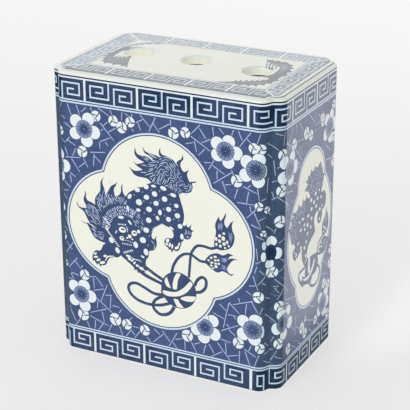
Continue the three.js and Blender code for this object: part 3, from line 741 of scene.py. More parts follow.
front_print = Transfer()
front_print.lay(bar(-100, -5, 100, 230), FIELD)
cracks(front_print, FRONT_CRACKS)
for x, y, turn, size in FRONT_BUDS:
    bud(front_print, x, y, turn, size)
for x, y, petals in FRONT_BLOSSOMS:
    blossom(front_print, x, y, petals, HEART if x < 70 else WIDE_HEART)
groove_blossom(front_print, 91.2, ((91.2, 121.7, 4.3, 4.1), (85.2, 119.2, 1.7, 3.4),
    (84.9, 110.6, 2.1, 3.8), (89.6, 104.3, 3.4, 3.5)))
quatrefoil(front_print, FRONT_LOBES)
lion_dog(front_print)
ribboned_ball(front_print)
tassels(front_print)


def key_borders(transfer, upper_bars, lower_bars):
    """The upper and the lower key pattern of a wall, with the double lines along them."""
    for low, high, cobalt in ((205.3, 208.6, BAND), (206.5, 207.3, FIGURE), (208.4, 224.3, KEY),
                              (224.3, 225.5, TINT), (225.5, 231, KEY), (17.7, 20.9, BAND),
                              (19.0, 19.8, FIGURE), (1.3, 17.8, KEY), (0.9, 1.3, FIGURE),
                              (-5, 0.9, BARE)):
        transfer.lay(bar(-150, low, 150, high), cobalt)
    key_pattern(transfer, upper_bars, 208.5, 224.3, "second")
    key_pattern(transfer, lower_bars, 1.4, 17.8, "first")


key_borders(front_print, [-60.7 + KEY_PERIOD * k for k in range(-1, 4)],
            [-59.2 + KEY_PERIOD * k for k in range(-1, 3)])
front_print.lay(bar(75.0, 1.3, 77.2, 17.8), TINT)
last_hook = key_line([(86.3, 1.3), (86.3, 13.8), (81.4, 13.8), (81.4, 5.2), (85.2, 5.2)], KEY_LINE)
front_print.lay(last_hook, BAND)

# At its left edge, before the groove, the print has a ragged pale margin
front_print.lay(bar(-100, -5, -85.6, 225.4), BAND)
ragged = np.random.default_rng(4)
for height in np.arange(2, 204, 4.5):
    reach = ragged.uniform(1.4, 4.4)
    shift = ragged.uniform(-1, 1)
    tall = ragged.uniform(1.4, 2.8)
    front_print.spots(FIELD, [(-88.4, height + shift, reach, tall)], 9)
front_print.lay(bar(-86.5, 1.3, -85.6, 205), BAND)


def sheet_cuts(flat, half):
    """Straight cuts across a wall's sheet, where it bends round the lobes and the foot."""
    bends = [flat + LOBE_ARC * k / LOBE_CUTS for k in range(LOBE_CUTS + 1)]
    cuts = [((side * u, 0), (side * u, STRIP_TOP)) for u in bends for side in (-1, 1)]
    rows = [FOOT_ROUND * (1 - math.cos(math.pi / 2 * k / FOOT_CUTS)) for k in range(1, FOOT_CUTS + 1)]
    cuts += [((-half, v), (half, v)) for v in [*rows, UNDER_TOP]]
    return cuts


def in_scene(name, data):
    thing = bpy.data.objects.new(name, data)
    bpy.context.scene.collection.objects.link(thing)
    return thing


def rotated(x, y, angle):
    c, s = math.cos(angle), math.sin(angle)
    return x * c - y * s, x * s + y * c


def node_group(name, kind, inputs, outputs):
    tree = bpy.data.node_groups.new(name, kind)
    for way, sockets in (("INPUT", inputs), ("OUTPUT", outputs)):
        for socket, carries in sockets.items():
            tree.interface.new_socket(socket, in_out=way, socket_type="NodeSocket" + carries)
    return tree, tree.nodes.new("NodeGroupInput").outputs, tree.nodes.new("NodeGroupOutput").inputs


def math_node(tree, operation, *values):
    node = tree.nodes.new("ShaderNodeMath")
    node.operation = operation
    for socket, value in zip(node.inputs, values):
        if isinstance(value, bpy.types.NodeSocket):
            tree.links.new(value, socket)
        else:
            socket.default_value = value
    return node.outputs[0]


def wrap_tree():
    """Lays a flat sheet, in metres, round the outside of a wall: flat in the middle, then round the
    lobes into the grooves, with a rounded foot. Then the wall is turned to its side of the box."""
    tree, given, put = node_group(
        "wrap_sheet_round_wall", "GeometryNodeTree",
        {"Sheet": "Geometry", "Flat Half Width": "Float", "Lobe Radius": "Float", "Lobe Turn": "Float",
         "Foot Rounding": "Float", "Face Distance": "Float", "Side Turn": "Float", "Finish": "Material"},
        {"Wall Face": "Geometry"})
    m = partial(math_node, tree)
    place = new_node(tree, "GeometryNodeInputPosition").outputs[0]
    across, up, _ = new_node(tree, "ShaderNodeSeparateXYZ", {"Vector": place}).outputs
    side = m("SIGN", across)
    reach = m("ABSOLUTE", across)
    past = m("MAXIMUM", m("SUBTRACT", reach, given["Flat Half Width"]), 0.0)
    turned = m("MINIMUM", m("DIVIDE", past, given["Lobe Radius"]), given["Lobe Turn"])
    straight = m("SUBTRACT", past, m("MULTIPLY", turned, given["Lobe Radius"]))
    sine, cosine = m("SINE", turned), m("COSINE", turned)
    along = m("ADD", m("MULTIPLY", sine, given["Lobe Radius"]), m("MULTIPLY", straight, cosine))
    inward = m("ADD", m("MULTIPLY", m("SUBTRACT", 1.0, cosine), given["Lobe Radius"]),
               m("MULTIPLY", straight, sine))
    below = m("DIVIDE", m("MAXIMUM", m("SUBTRACT", given["Foot Rounding"], up), 0.0),
              given["Foot Rounding"])
    drawn_in = m("MULTIPLY", given["Foot Rounding"],
                 m("SUBTRACT", 1.0, m("SQRT", m("SUBTRACT", 1.0, m("MULTIPLY", below, below)))))
    x = m("MULTIPLY", side, m("SUBTRACT", m("ADD", m("MINIMUM", reach, given["Flat Half Width"]), along),
                              m("MULTIPLY", sine, drawn_in)))
    y = m("SUBTRACT", m("ADD", inward, m("MULTIPLY", cosine, drawn_in)), given["Face Distance"])
    join = new_node(tree, "ShaderNodeCombineXYZ", {"X": x, "Y": y, "Z": up})
    turn = new_node(tree, "ShaderNodeVectorRotate",
                    {"Vector": join.outputs[0], "Angle": given["Side Turn"]}, rotation_type="Z_AXIS")
    move = new_node(tree, "GeometryNodeSetPosition",
                    {"Geometry": given["Sheet"], "Position": turn.outputs[0]})
    realize = new_node(tree, "GeometryNodeRealizeInstances", {"Geometry": move.outputs[0]})
    finish = new_node(tree, "GeometryNodeSetMaterial",
                      {"Geometry": realize.outputs[0], "Material": given["Finish"]})
    tree.links.new(finish.outputs[0], put["Wall Face"])
    return tree


WRAP = wrap_tree()


def made_by_nodes(name, mesh, tree, **values):
    """The plain mesh that a Geometry Nodes tree makes from a start mesh."""
    holder = in_scene(name, mesh)
    modifier = holder.modifiers.new(name, "NODES")
    modifier.node_group = tree
    for item in tree.interface.items_tree:
        if item.in_out == "INPUT" and item.name in values:
            modifier[item.identifier] = values[item.name]
    seen = holder.evaluated_get(bpy.context.evaluated_depsgraph_get())
    result = bpy.data.meshes.new_from_object(seen)
    bpy.data.objects.remove(holder)
    return result


def plain_mesh(name, points, faces):
    mesh = bpy.data.meshes.new(name)
    mesh.from_pydata([tuple(p) for p in points], [], [tuple(int(i) for i in f) for f in faces])
    return mesh


def wall_face(name, sheet_points, flat, distance, turn, finish):
    """The outside of a wall in millimetres, with its normals: a printed sheet, wrapped."""
    flat_mesh = plain_mesh(name + "_sheet", np.c_[sheet_points, np.zeros(len(sheet_points))] * MM, [])
    values = {"Flat Half Width": flat * MM, "Lobe Radius": LOBE_RADIUS * MM, "Lobe Turn": LOBE_TURN,
              "Foot Rounding": FOOT_ROUND * MM, "Face Distance": distance * MM, "Side Turn": turn,
              "Finish": finish}
    wrapped = made_by_nodes(name, flat_mesh, WRAP, **values)
    places = np.array([v.co for v in wrapped.vertices]) / MM
    across, up = sheet_points[:, 0], sheet_points[:, 1]
    a = np.clip((np.abs(across) - flat) / LOBE_RADIUS, 0, LOBE_TURN)
    below = np.clip((FOOT_ROUND - up) / FOOT_ROUND, 0, 1)
    level = np.sqrt(1 - below ** 2)
    out = np.stack([np.sign(across) * np.sin(a) * level, -np.cos(a) * level, -below], 1)
    return places, np.stack([*rotated(out[:, 0], out[:, 1], turn), out[:, 2]], 1)


def face_normal(points):
    """The normal of a flat face with any number of corners."""
    p = np.array(points)
    q = np.roll(p, -1, 0)
    n = np.cross(p, q).sum(0)
    return n / np.linalg.norm(n)


PARTLY_POOLED = 0.8


def glaze_pooling_and_shade(points):
    """How far the glaze turns darker and greener: fully on the lobes and in the grooves, as painted shade
    and a painted reflection of dim surroundings, with glaze pooling in the grooves; in part on the upper key
    pattern of the long walls, where the cobalt came out darkest, and as much on the top."""
    x, y, z = np.array(points).T
    past_flat = np.minimum(abs(x) - FRONT_FLAT, abs(y) - END_FLAT)
    # Painted shade and a painted reflection on the lobes and in the grooves, with glaze pooling in the
    # grooves
    lobes = np.clip((past_flat + 0.5) / 2.5, 0, 1)
    along = np.where(y < 0, x, -x)
    middle, reach, fade = 12, 32, 12
    low, rise = 210, 6
    dark_key = np.clip((reach - abs(along - middle)) / fade, 0, 1) * np.clip((z - low) / rise, 0, 1)
    on_walls = np.maximum(lobes, dark_key * PARTLY_POOLED * (abs(y) > END_FLAT))
    return np.where(z < STRIP_TOP + 1, on_walls, PARTLY_POOLED)


def finished_piece(name, points, faces, normals, cobalt, finish, slot, *nodes):
    """A closed piece: points in millimetres, each face with its normals and its cobalt."""
    mesh = plain_mesh(name, np.array(points) * MM, faces)
    mesh.materials.append(finish)
    # Darker glaze tones for each point: glaze pooling, plus painted shade and a painted reflection on the
    # lobes and grooves
    pool = mesh.attributes.new("pooled_and_shaded", "FLOAT", "POINT")
    pool.data.foreach_set("value", glaze_pooling_and_shade(points).astype(np.float32))
    ink = mesh.attributes.new("cobalt", "FLOAT", "FACE")
    ink.data.foreach_set("value", np.array(cobalt, np.float32))
    mesh.polygons.foreach_set("use_smooth", [True] * len(mesh.polygons))
    mesh.normals_split_custom_set([tuple(n) for face in normals for n in face])
    mesh.update()
    piece = in_scene(name, mesh)
    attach(piece, "root")
    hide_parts(*nodes)


HAIRSBREADTH = 1e-3  # millimetres, within which two places count as one


def wall_slab(name, sheet, flat, distance, turn, finish, node):
    """A whole wall: its printed outside, its two mitres, its plain inside, its top and its foot."""
    spots, triangles, cobalt = sheet
    half = abs(spots[:, 0]).max()
    places, outward = wall_face(name, spots, flat, distance, turn, finish)
    keep = spots[triangles][:, :, 1].mean(1) < UNDER_TOP
    triangles, cobalt = triangles[keep], cobalt[keep]
    used, flat_ids = np.unique(triangles, return_inverse=True)
    triangles = flat_ids.reshape(-1, 3)
    spots, places, outward = spots[used], places[used], outward[used]
    faces = [list(t) for t in triangles]
    normals = [[outward[i] for i in t] for t in triangles]
    cobalt = list(cobalt)

    inner_x = flat + LOBE_REACH + GROOVE_DEPTH - WALL
    first = len(places)
    inner = [(*rotated(x, WALL - distance, turn), z)
             for x, z in ((-inner_x, 0), (inner_x, 0), (inner_x, UNDER_TOP), (-inner_x, UNDER_TOP))]
    points = np.vstack([places, inner])
    low_left, low_right, high_right, high_left = range(first, first + 4)

    def row(mask, axis):
        found = np.flatnonzero(mask)
        return list(found[np.argsort(spots[found, axis])])

    foot = row(spots[:, 1] < HAIRSBREADTH, 0)
    top = row(spots[:, 1] > UNDER_TOP - HAIRSBREADTH, 0)
    left = row(spots[:, 0] < -half + HAIRSBREADTH, 1)
    right = row(spots[:, 0] > half - HAIRSBREADTH, 1)
    rest = [[high_left, high_right, low_right, low_left],
            [*foot[::-1], low_left, low_right], [*top, high_right, high_left],
            [*left, high_left, low_left], [*right[::-1], low_right, high_right]]
    for face in rest:
        face = list(dict.fromkeys(face))
        n = face_normal(points[face])
        faces.append(face)
        normals.append([n] * len(face))
        cobalt.append(0.0)
    finished_piece(name, points, faces, normals, cobalt, finish, "printed_wall_glaze", node)


# Colour under the glaze for each amount of cobalt: where the glaze lies thin, and the darker tones of deep
# glaze, which also serve as painted shade and painted reflection on the lobes and in the grooves
THIN_GLAZE = [(0.0, (0.83, 0.845, 0.745)), (0.05, (0.80, 0.845, 0.84)), (0.12, (0.62, 0.73, 0.86)),
              (0.27, (0.45, 0.54, 0.80)), (0.34, (0.33, 0.42, 0.69)), (0.50, (0.15, 0.20, 0.43)),
              (0.72, (0.060, 0.093, 0.210)), (0.80, (0.047, 0.077, 0.172)), (0.93, (0.037, 0.064, 0.135)),
              (1.0, (0.015, 0.034, 0.085))]
POOLED_AND_SHADED_GLAZE = [(0.0, (0.80, 0.85, 0.79)), (0.05, (0.77, 0.87, 0.88)), (0.12, (0.52, 0.70, 0.82)),
                (0.27, (0.38, 0.47, 0.56)), (0.34, (0.25, 0.32, 0.41)), (0.50, (0.11, 0.15, 0.20)),
                (0.72, (0.051, 0.084, 0.158)), (0.80, (0.036, 0.062, 0.110)), (0.93, (0.008, 0.026, 0.074)),
                (1.0, (0.004, 0.014, 0.045))]

PATCH_GRAIN, MOTTLE_GRAIN = 70.0, 520.0
GLOSS_GRAIN = 180.0
WAVE_GRAIN, RIPPLE_GRAIN = 38.0, 230.0
SPECK_GRAIN = 55.0
SPECK_COLOUR = (0.20, 0.13, 0.08, 1)


def underglaze_group():
    """Cobalt under clear glaze. In: how much cobalt lies there, how deep the glaze pools over it (which
    also carries painted shade and reflection), and how unevenly both took. Out: the colour seen, the
    roughness and the height of the glaze."""
    tree, given, put = node_group(
        "cobalt_under_glaze", "ShaderNodeTree",
        {"Place": "Vector", "Cobalt": "Float", "Pooled And Shaded": "Float", "Patches": "Float", "Mottle": "Float",
         "Specks": "Float", "Gloss": "Float"},
        {"Colour": "Color", "Roughness": "Float", "Height": "Float"})
    m = partial(math_node, tree)

    def noise(scale, detail=2.0):
        made = new_node(tree, "ShaderNodeTexNoise", {"Vector": given["Place"], "Scale": scale,
                                                     "Detail": detail})
        return m("SUBTRACT", made.outputs["Fac"], 0.5)

    patches = m("MULTIPLY", noise(PATCH_GRAIN), given["Patches"])
    mottle = m("MULTIPLY", noise(MOTTLE_GRAIN, 3.0), given["Mottle"])
    level = m("ADD", given["Cobalt"], m("MULTIPLY", m("ADD", patches, mottle), given["Cobalt"]))

    def colours(stops):
        ramp = new_node(tree, "ShaderNodeValToRGB", {"Fac": level})
        elements = ramp.color_ramp.elements
        elements.remove(elements[1])
        for k, (position, colour) in enumerate(stops):
            stop = elements[0] if k == 0 else elements.new(position)
            stop.position = position
            stop.color = (*colour, 1)
        return ramp.outputs["Color"]

    blue = new_node(tree, "ShaderNodeMixRGB", {"Fac": given["Pooled And Shaded"], "Color1": colours(THIN_GLAZE),
                                               "Color2": colours(POOLED_AND_SHADED_GLAZE)})
    cells = new_node(tree, "ShaderNodeTexVoronoi", {"Vector": given["Place"], "Scale": SPECK_GRAIN})
    tiny = m("LESS_THAN", cells.outputs["Distance"], m("MULTIPLY", given["Specks"], 0.035))
    speck = new_node(tree, "ShaderNodeMixRGB", {"Fac": tiny, "Color1": blue.outputs[0],
                                                "Color2": SPECK_COLOUR})
    tree.links.new(speck.outputs[0], put["Colour"])
    rough = m("ADD", given["Gloss"], m("MULTIPLY", noise(GLOSS_GRAIN), 0.03))
    tree.links.new(rough, put["Roughness"])
    waves = m("ADD", noise(WAVE_GRAIN, 1.0), m("MULTIPLY", noise(RIPPLE_GRAIN, 1.0), 0.08))
    tree.links.new(m("ADD", waves, m("MULTIPLY", given["Cobalt"], 0.02)), put["Height"])
    return tree


UNDERGLAZE = underglaze_group()


def printed_glaze(name, specks):
    """Clear glossy glaze over white clay and its cobalt print."""
    material, tree, surface, place = blank_material(name)
    group = new_node(tree, "ShaderNodeGroup", node_tree=UNDERGLAZE)
    tree.links.new(place, group.inputs["Place"])
    for socket, attribute in (("Cobalt", "cobalt"), ("Pooled And Shaded", "pooled_and_shaded")):
        read = new_node(tree, "ShaderNodeAttribute", attribute_name=attribute)
        tree.links.new(read.outputs["Fac"], group.inputs[socket])
    for socket, value in (("Patches", 0.22), ("Mottle", 0.25), ("Specks", specks), ("Gloss", 0.07)):
        group.inputs[socket].default_value = value
    bump = new_node(tree, "ShaderNodeBump", {"Height": group.outputs["Height"], "Strength": 1.0,
                                             "Distance": 0.0006})
    for output, socket in (("Colour", "Base Color"), ("Roughness", "Roughness")):
        tree.links.new(group.outputs[output], surface.inputs[socket])
    tree.links.new(bump.outputs["Normal"], surface.inputs["Normal"])
    surface.inputs["IOR"].default_value = 1.5
    return material


wall_glaze = printed_glaze("printed_wall_glaze", 0.6)

front_sheet = front_print.cut_sheet(bar(-FRONT_SHEET, 0, FRONT_SHEET, STRIP_TOP),
                                    sheet_cuts(FRONT_FLAT, FRONT_SHEET))
wall_slab("glazed_front_wall", front_sheet, FRONT_FLAT, DEPTH / 2, 0.0, wall_glaze, "front_slab")

# Back slab
# The front slab's twin, with the same transfer print, as such pillows are printed on all sides.

wall_slab("glazed_back_wall", front_sheet, FRONT_FLAT, DEPTH / 2, math.pi, wall_glaze, "back_slab")

# Right and left end slabs
# Two narrower slabs with the same lobes, mitred to the long walls and luted with slip. Their print
# holds the same picture in a taller frame.

END_LOBES = [(2.5, 150.5, 26.4), (-10.4, 113, 54.1), (1.5, 74, 26.1), (10.2, 111.2, 50.9)]
END_BUDS = [(-48.4, 187.2, 90, 0.95), (-31.4, 189.4, 20, 1), (-9.5, 191.3, 80, 1.05),
    (-1, 187.2, 200, 0.9), (20.6, 194, 60, 0.9), (21.6, 190, 0, 0.7), (42.6, 198.4, 0, 0.8),
    (44, 172.4, 120, 0.9), (46, 153, 10, 1.1), (-49.2, 160, 90, 1), (-50, 136.6, 60, 1.05),
    (-55.2, 97.3, 30, 0.95), (-49.4, 69, 90, 1), (-49.6, 38.4, 90, 0.95), (-35.6, 28.2, 90, 1),
    (-9.6, 34, 150, 1.05), (-3.6, 27, 60, 0.95), (17.4, 29, 20, 0.85), (-3, 38.6, 0, 0.5),
    (44.6, 67, 90, 1), (45, 79, 0, 0.9), (41.4, 24.6, 180, 0.9), (33, 54, 30, 0.9), (41, 50, 90, 0.9)]
END_CRACKS = [(-54.5, 203.5, -48.5, 201.5), (-47, 204, -48.6, 193.6), (-46, 195, -36, 190),
    (-44, 196, -38, 188), (-34.6, 204, -40, 194), (-28, 204, -27.4, 197), (-23, 203.6, -15, 195),
    (-4.6, 204, 6.4, 195), (12, 199.6, 17, 196), (7, 192, 16, 192.6), (-28.6, 185, -16, 172.6),
    (-27, 178, -20, 169), (-26, 190, -14, 188.6), (-56.5, 194.3, -52, 191), (-53, 156, -38.6, 145),
    (-46, 156, -40, 141), (-33, 161.6, -24.6, 156.8), (-43, 157, -32, 154.4), (-29, 171, -21, 168.6),
    (29, 170, 40, 162.4), (30, 158, 42, 156), (36, 158, 44, 146), (-53.2, 131.4, -54.6, 127.6),
    (-51, 120, -45.6, 123), (-49.4, 107.4, -45, 104.6), (-45, 100.8, -50.6, 97.2),
    (-57, 130.8, -54.8, 129.4), (-55.6, 183.4, -54.2, 172), (-56.7, 167, -53, 168.4),
    (-56.7, 160, -55, 155), (-56.7, 153.4, -53, 155.6), (-53, 177.6, -50.4, 178.6),
    (-53.6, 44.8, -55.6, 41), (-56.7, 34, -54, 34.6), (-53.5, 91.5, -38, 77.6), (-54.5, 85.5, -50.5, 86),
    (-53.5, 84.5, -50, 80), (-46, 83, -51.5, 75), (-40, 71, -24, 67), (-42, 69, -36, 66),
    (-56.7, 60.5, -52, 56.5), (-30, 45, -25, 39), (-22, 50, -21, 34), (-28.6, 27.6, -18, 20.8),
    (-16, 24, -10, 21), (1, 36, 13.6, 30.4), (-20, 40, -12, 33.6), (5, 27, 11, 21), (4, 46.6, 15, 41.6),
    (19, 26.6, 25, 21.4), (-56, 25, -51, 33), (-52.5, 28, -46, 25), (-36, 22, -30, 26), (28, 76, 38, 68),
    (30, 63, 40, 60), (41, 88, 45, 100), (42, 110, 47, 112), (41, 128, 47, 122), (40, 136, 46, 132),
    (44, 186, 48, 176)]
END_BLOSSOMS = [
    (-39, 173.2, [(-46.4, 180.6, 5, 4.8), (-34.6, 181.4, 4.8, 4.6), (-29.2, 172.4, 4.4, 5.2),
                  (-36.4, 165, 5, 4.6), (-47.6, 169.6, 5, 5)]),
    (35, 182.4, [(29.6, 190, 4.4, 4.6), (38.6, 191.6, 4.2, 4.4), (43.6, 183.6, 4, 5),
                 (37.6, 174, 4.6, 4.4), (27.6, 178.8, 4.2, 5)]),
    (-44, 54, [(-46.8, 61.4, 4.8, 4.4), (-37, 60.8, 4.8, 4.6), (-51.2, 51, 4.2, 5),
               (-43.4, 44.4, 5.2, 4.6), (-33.6, 49.8, 4.6, 5)]),
    (31, 37.6, [(26.4, 43.6, 4.4, 4.6), (24.8, 33.6, 4.4, 4.8), (37.4, 44, 4.6, 4.6),
                (34.6, 29.4, 4.4, 4.2), (40, 36, 4, 4.6)]),
    ]


def upright_lion_dog(transfer):
    """The same lion-dog, drawn narrower for the ends: it climbs, with the ball at its feet."""
    tail = outline([(-10.4, 153.8), (-7, 153.4), (-4.6, 154.4)], [(-4.6, 157), (-2.6, 155.8), (-0.6, 156)],
        [(1.6, 160.2), (3.2, 158), (5.4, 157)], [(8.8, 160.4), (10.6, 158.4), (14, 157.6)],
        [(19, 160.6), (20.8, 158), (22, 155.6), (23.6, 152.6), (24.6, 149.4)], [(29, 147), (26.4, 145.8),
        (25.6, 142.4), (24, 139.4), (20, 138), (12, 138)], [(0, 139), (-2.6, 143), (-6.5, 145.2)],
        [(-11.4, 146.8), (-8, 148), (-5.4, 150), (-6.8, 152)])
    body = outline([(-36.2, 133), (-33.6, 133.4), (-31, 132.8), (-31.6, 135)], [(-32.6, 138), (-30, 136.4),
        (-26, 135.8), (-23, 137)], [(-20.8, 141), (-19.4, 138), (-17, 136.6), (-14.6, 138.4)],
        [(-12.6, 142), (-11.4, 139.4), (-9, 138.6), (-7.6, 140)], [(-6.4, 142.6), (-4.6, 139), (-1, 138),
        (2, 140), (10, 141), (20, 140)], [(24, 139), (22.4, 136.6), (23.4, 134)], [(26, 134.6),
        (28.4, 134), (31, 131.4), (32, 127), (31.2, 122.4), (28.4, 119.8)], [(25, 119.4), (24.8, 116),
        (23, 111.4), (21, 109.8), (18, 110.6), (15.8, 113.4)], [(15.6, 117.4), (17.6, 119.8), (16, 121.4)],
        [(12.6, 121), (9.8, 118.6), (9.6, 114), (11, 110)], [(12.2, 106.6), (9, 104.6), (5, 102.8),
        (2, 101), (-1.2, 98.6), (-3, 94), (-2.4, 90), (0.6, 87)], [(-4, 84), (-6.6, 88), (-10.6, 92),
        (-12.4, 97), (-13.4, 101)], [(-18.8, 99), (-21.4, 97.4), (-22.6, 98.2)], [(-24.6, 96.2),
        (-27.4, 97.6), (-29.8, 101), (-30.4, 104.4), (-28, 106.4)], [(-26, 107.6), (-28.6, 110.8)],
        [(-30.6, 111.4), (-33.2, 113.6), (-35.2, 118), (-36.4, 122), (-37.6, 124)], [(-40.6, 127),
        (-37, 126.4), (-34.4, 127), (-33, 129.6)])
    transfer.lay(tail, FIGURE)
    transfer.lay(body, FIGURE)
    transfer.spots(TINT, [(2.5, 135, 2, 1.7), (11, 137.2, 1.9, 1.5), (8.2, 131.4, 1.8, 1.6),
        (15, 132, 1.5, 1.5), (3.8, 127.4, 1.9, 1.6), (12.6, 126.6, 1.8, 1.6), (-2.2, 124, 1.8, 1.5),
        (4.4, 119.6, 1.6, 1.6), (-3.2, 117, 2, 1.5), (20.2, 121.4, 1.9, 1.5, -20), (-8.4, 115.4, 1.5, 1.3),
        (3, 113.2, 1.6, 1.3), (-3, 110, 1.3, 1.5), (18, 137.8, 1.3, 1.2), (22, 130.8, 1.3, 1.5),
        (-12.6, 125.2, 2.4, 1.1, -8), (-19, 125, 1.6, 0.9), (-20.4, 108.4, 2, 0.9, 25),
        (-15, 102.8, 1.6, 1.6), (-5, 104, 1.2, 1.4), (24.6, 123, 1, 1.4), (-16.2, 117.6, 1.9, 1.3),
        (-9.4, 119.4, 1.5, 1.2), (-23.8, 100.4, 1.9, 1, 30), (-26.4, 102.8, 1.3, 0.8, 30),
        (-8, 100.2, 1.4, 2, 30), (-5.2, 92.6, 1.2, 2, 25), (-4, 88.6, 1.1, 1.2), (19.8, 113.6, 1.2, 1.5)],
        12)
    comb(transfer, tail, [(-8, 150, 10), (0, 153, -20), (0, 147, -35), (8, 155, 20), (10, 149, -60),
        (15, 157, 60), (17, 150, -80), (24, 154, 50), (22, 145, 70)], 1.5, 5, 0.6, (CRACK,), 1.0, 11)
    comb(transfer, outline([(-38, 134), (-30, 136), (-20, 139), (-10, 139), (-7, 131), (-15, 128),
        (-22, 129), (-25, 122), (-22, 114), (-30, 110), (-35, 118)]), [(-32, 132, -20), (-28, 128, -30),
        (-19, 136, -70), (-10, 136, -110), (-30, 118, 20), (-26, 112, 50)], 1.5, 5, 0.6, (CRACK,), 0.6, 12)


def ball_and_ribbon_upright(transfer):
    band = 2.3
    for line, widths in (
            ([(-12.4, 99), (-11, 92), (-6.6, 85.6), (-1, 80)], (2.2, 2.4)),
            ([(-6, 83.4), (-12, 83.2), (-16.6, 82.6), (-17.8, 79.4), (-15.4, 75), (-12, 71.6), (-8.6, 68.8)],
             (band, band)),
            ([(-12, 76), (-7, 72.4), (0, 69.8), (5.4, 66)], (5.0, 6.0, 3.4)),
            ([(2, 68), (6, 63.4), (11, 61.2), (16.6, 61), (21, 64), (22.8, 69), (21.6, 73.2), (17, 76)],
             (band, band)),
            ([(11, 86.4), (17, 85.4), (23, 83.8), (29, 82.8), (33, 84)], (3.0, 2.0)),
            ([(17.6, 85), (17.8, 90), (20, 94), (24, 96), (28.4, 97.4)], (1.9, 1.9))):
        transfer.brush(FIGURE, line, *widths, steps=5)
    transfer.shape(FIGURE, [(-3.6, 86), (0, 88.2), (5, 88.6), (11, 87.6), (17, 85.4), (19.4, 80),
        (18.6, 75), (14, 70), (8, 68), (2, 69), (-4, 72), (-6.4, 78)])
    transfer.shape(TINT, [(0.2, 88), (3.2, 88.4)], [(3.2, 82), (4, 76)], [(1, 75.4), (-0.4, 78), (-0.4, 83)])
    transfer.shape(TINT, [(-11.8, 75.4), (-5, 74), (1, 74), (5, 76), (9, 80), (11.6, 83.4)],
        [(13.4, 82), (11, 77.6), (6.6, 73.6), (1, 71.6), (-5, 71.8)])
    transfer.shape(BARE, [(-14.6, 80.4), (-11, 80.6), (-10.6, 77.8), (-14.6, 77)])
    transfer.shape(BARE, [(8, 70.6), (13, 71), (18.4, 71.6), (20, 68.4), (18, 65), (12, 63.8), (8.4, 66)])
    tassel(transfer, [[(26.6, 96.6), (25.6, 101), (26, 106), (28.4, 109.4), (31.4, 111.8), (33, 115)],
        [(34.4, 119.2), (35, 114.6), (37.4, 110.6), (38.6, 105), (37.6, 100), (34.6, 97), (30, 96)]],
        [(29, 99.4, 1, 1.2), (31.6, 101.6, 1.1, 1.2), (29.4, 103.4, 1, 1.2), (34, 100, 1, 1.1)],
        [([(29, 106), (31, 110), (33.4, 114)], [(36, 104), (36, 108), (35, 112)], 4)])
    tassel(transfer, [[(19.6, 88), (22.4, 92), (27, 94.8), (32, 95), (35.6, 92.8), (39.6, 91.4)],
        [(36.6, 88.4), (35.4, 85), (31, 83.4), (26, 84.2), (22, 86)]],
        [(22.4, 89, 1.2, 0.9, 30), (25, 91.6, 1.2, 0.9, 30), (25.6, 88.4, 1.1, 0.9)],
        [([(28, 92.4), (32, 92.6), (35, 91)], [(27, 86.4), (31, 86.4), (34, 88)], 4)])


def end_transfer(border_shift):
    """A printed sheet for an end. The two ends differ in where their key patterns were cut."""
    sheet = Transfer()
    sheet.lay(bar(-70, -5, 70, 230), FIELD)
    draw = np.random.default_rng(21)
    for x, y, way, run in draw.uniform((-60, 24, 0, 5), (60, 206, 360, 13), (170, 4)):
        c, s = math.cos(math.radians(way)), math.sin(math.radians(way))
        sheet.brush(FAINT, [(x, y), (x + run * c, y + run * s)], 0.4, 0.6, 0.4, steps=1)
    cracks(sheet, END_CRACKS)
    for x, y, turn, size in END_BUDS:
        bud(sheet, x, y, turn, size)
    for x, y, petals in END_BLOSSOMS:
        blossom(sheet, x, y, petals, END_HEART)
    groove_blossom(sheet, -57.2, ((-56.7, 121.7, 4.3, 4.1), (-51.8, 112.2, 3.8, 4.6),
        (-57.2, 104.3, 2.8, 3.5)))
    quatrefoil(sheet, END_LOBES)
    upright_lion_dog(sheet)
    ball_and_ribbon_upright(sheet)
    key_borders(sheet, [-35.3 + border_shift + KEY_PERIOD * k for k in range(-1, 4)],
                [-37.4 + border_shift + KEY_PERIOD * k for k in range(-1, 4)])
    return sheet.cut_sheet(bar(-END_SHEET, 0, END_SHEET, STRIP_TOP), sheet_cuts(END_FLAT, END_SHEET))


right_end_sheet = end_transfer(0.0)
left_end_sheet = end_transfer(-16.0)
wall_slab("glazed_right_end", right_end_sheet, END_FLAT, LENGTH / 2, math.pi / 2, wall_glaze,
          "right_end_slab")
wall_slab("glazed_left_end", left_end_sheet, END_FLAT, LENGTH / 2, -math.pi / 2, wall_glaze,
          "left_end_slab")

# Top slab
# A slab with a rounded shoulder and three air holes, cut with a tube and wiped with a sponge. A key
# border and two feathery scrolls are printed on its flat part.

SHOULDER_INSET = 5.0
SHOULDER_CUTS = 10
GROOVE_FADE = 0.35
HOLE_RADIUS = 12.0
HOLE_SPOTS = ((-51.0, 6.0), (-2.0, 5.5), (51.5, 0.0))
RIM_TOP = 1.4
RIM_UNDER = 1.0
# Painted shade in the holes: in the bores marked here, the wall below the given height is dark cobalt, in
# place of the shadow of the hollow inside
SHADED_BORES = (False, True, True)  # which bores are dark
SHADE_PAINTED_BELOW = 223.4
HOLE_CORNERS = 72
RIM_CUTS, UNDER_CUTS = 6, 4


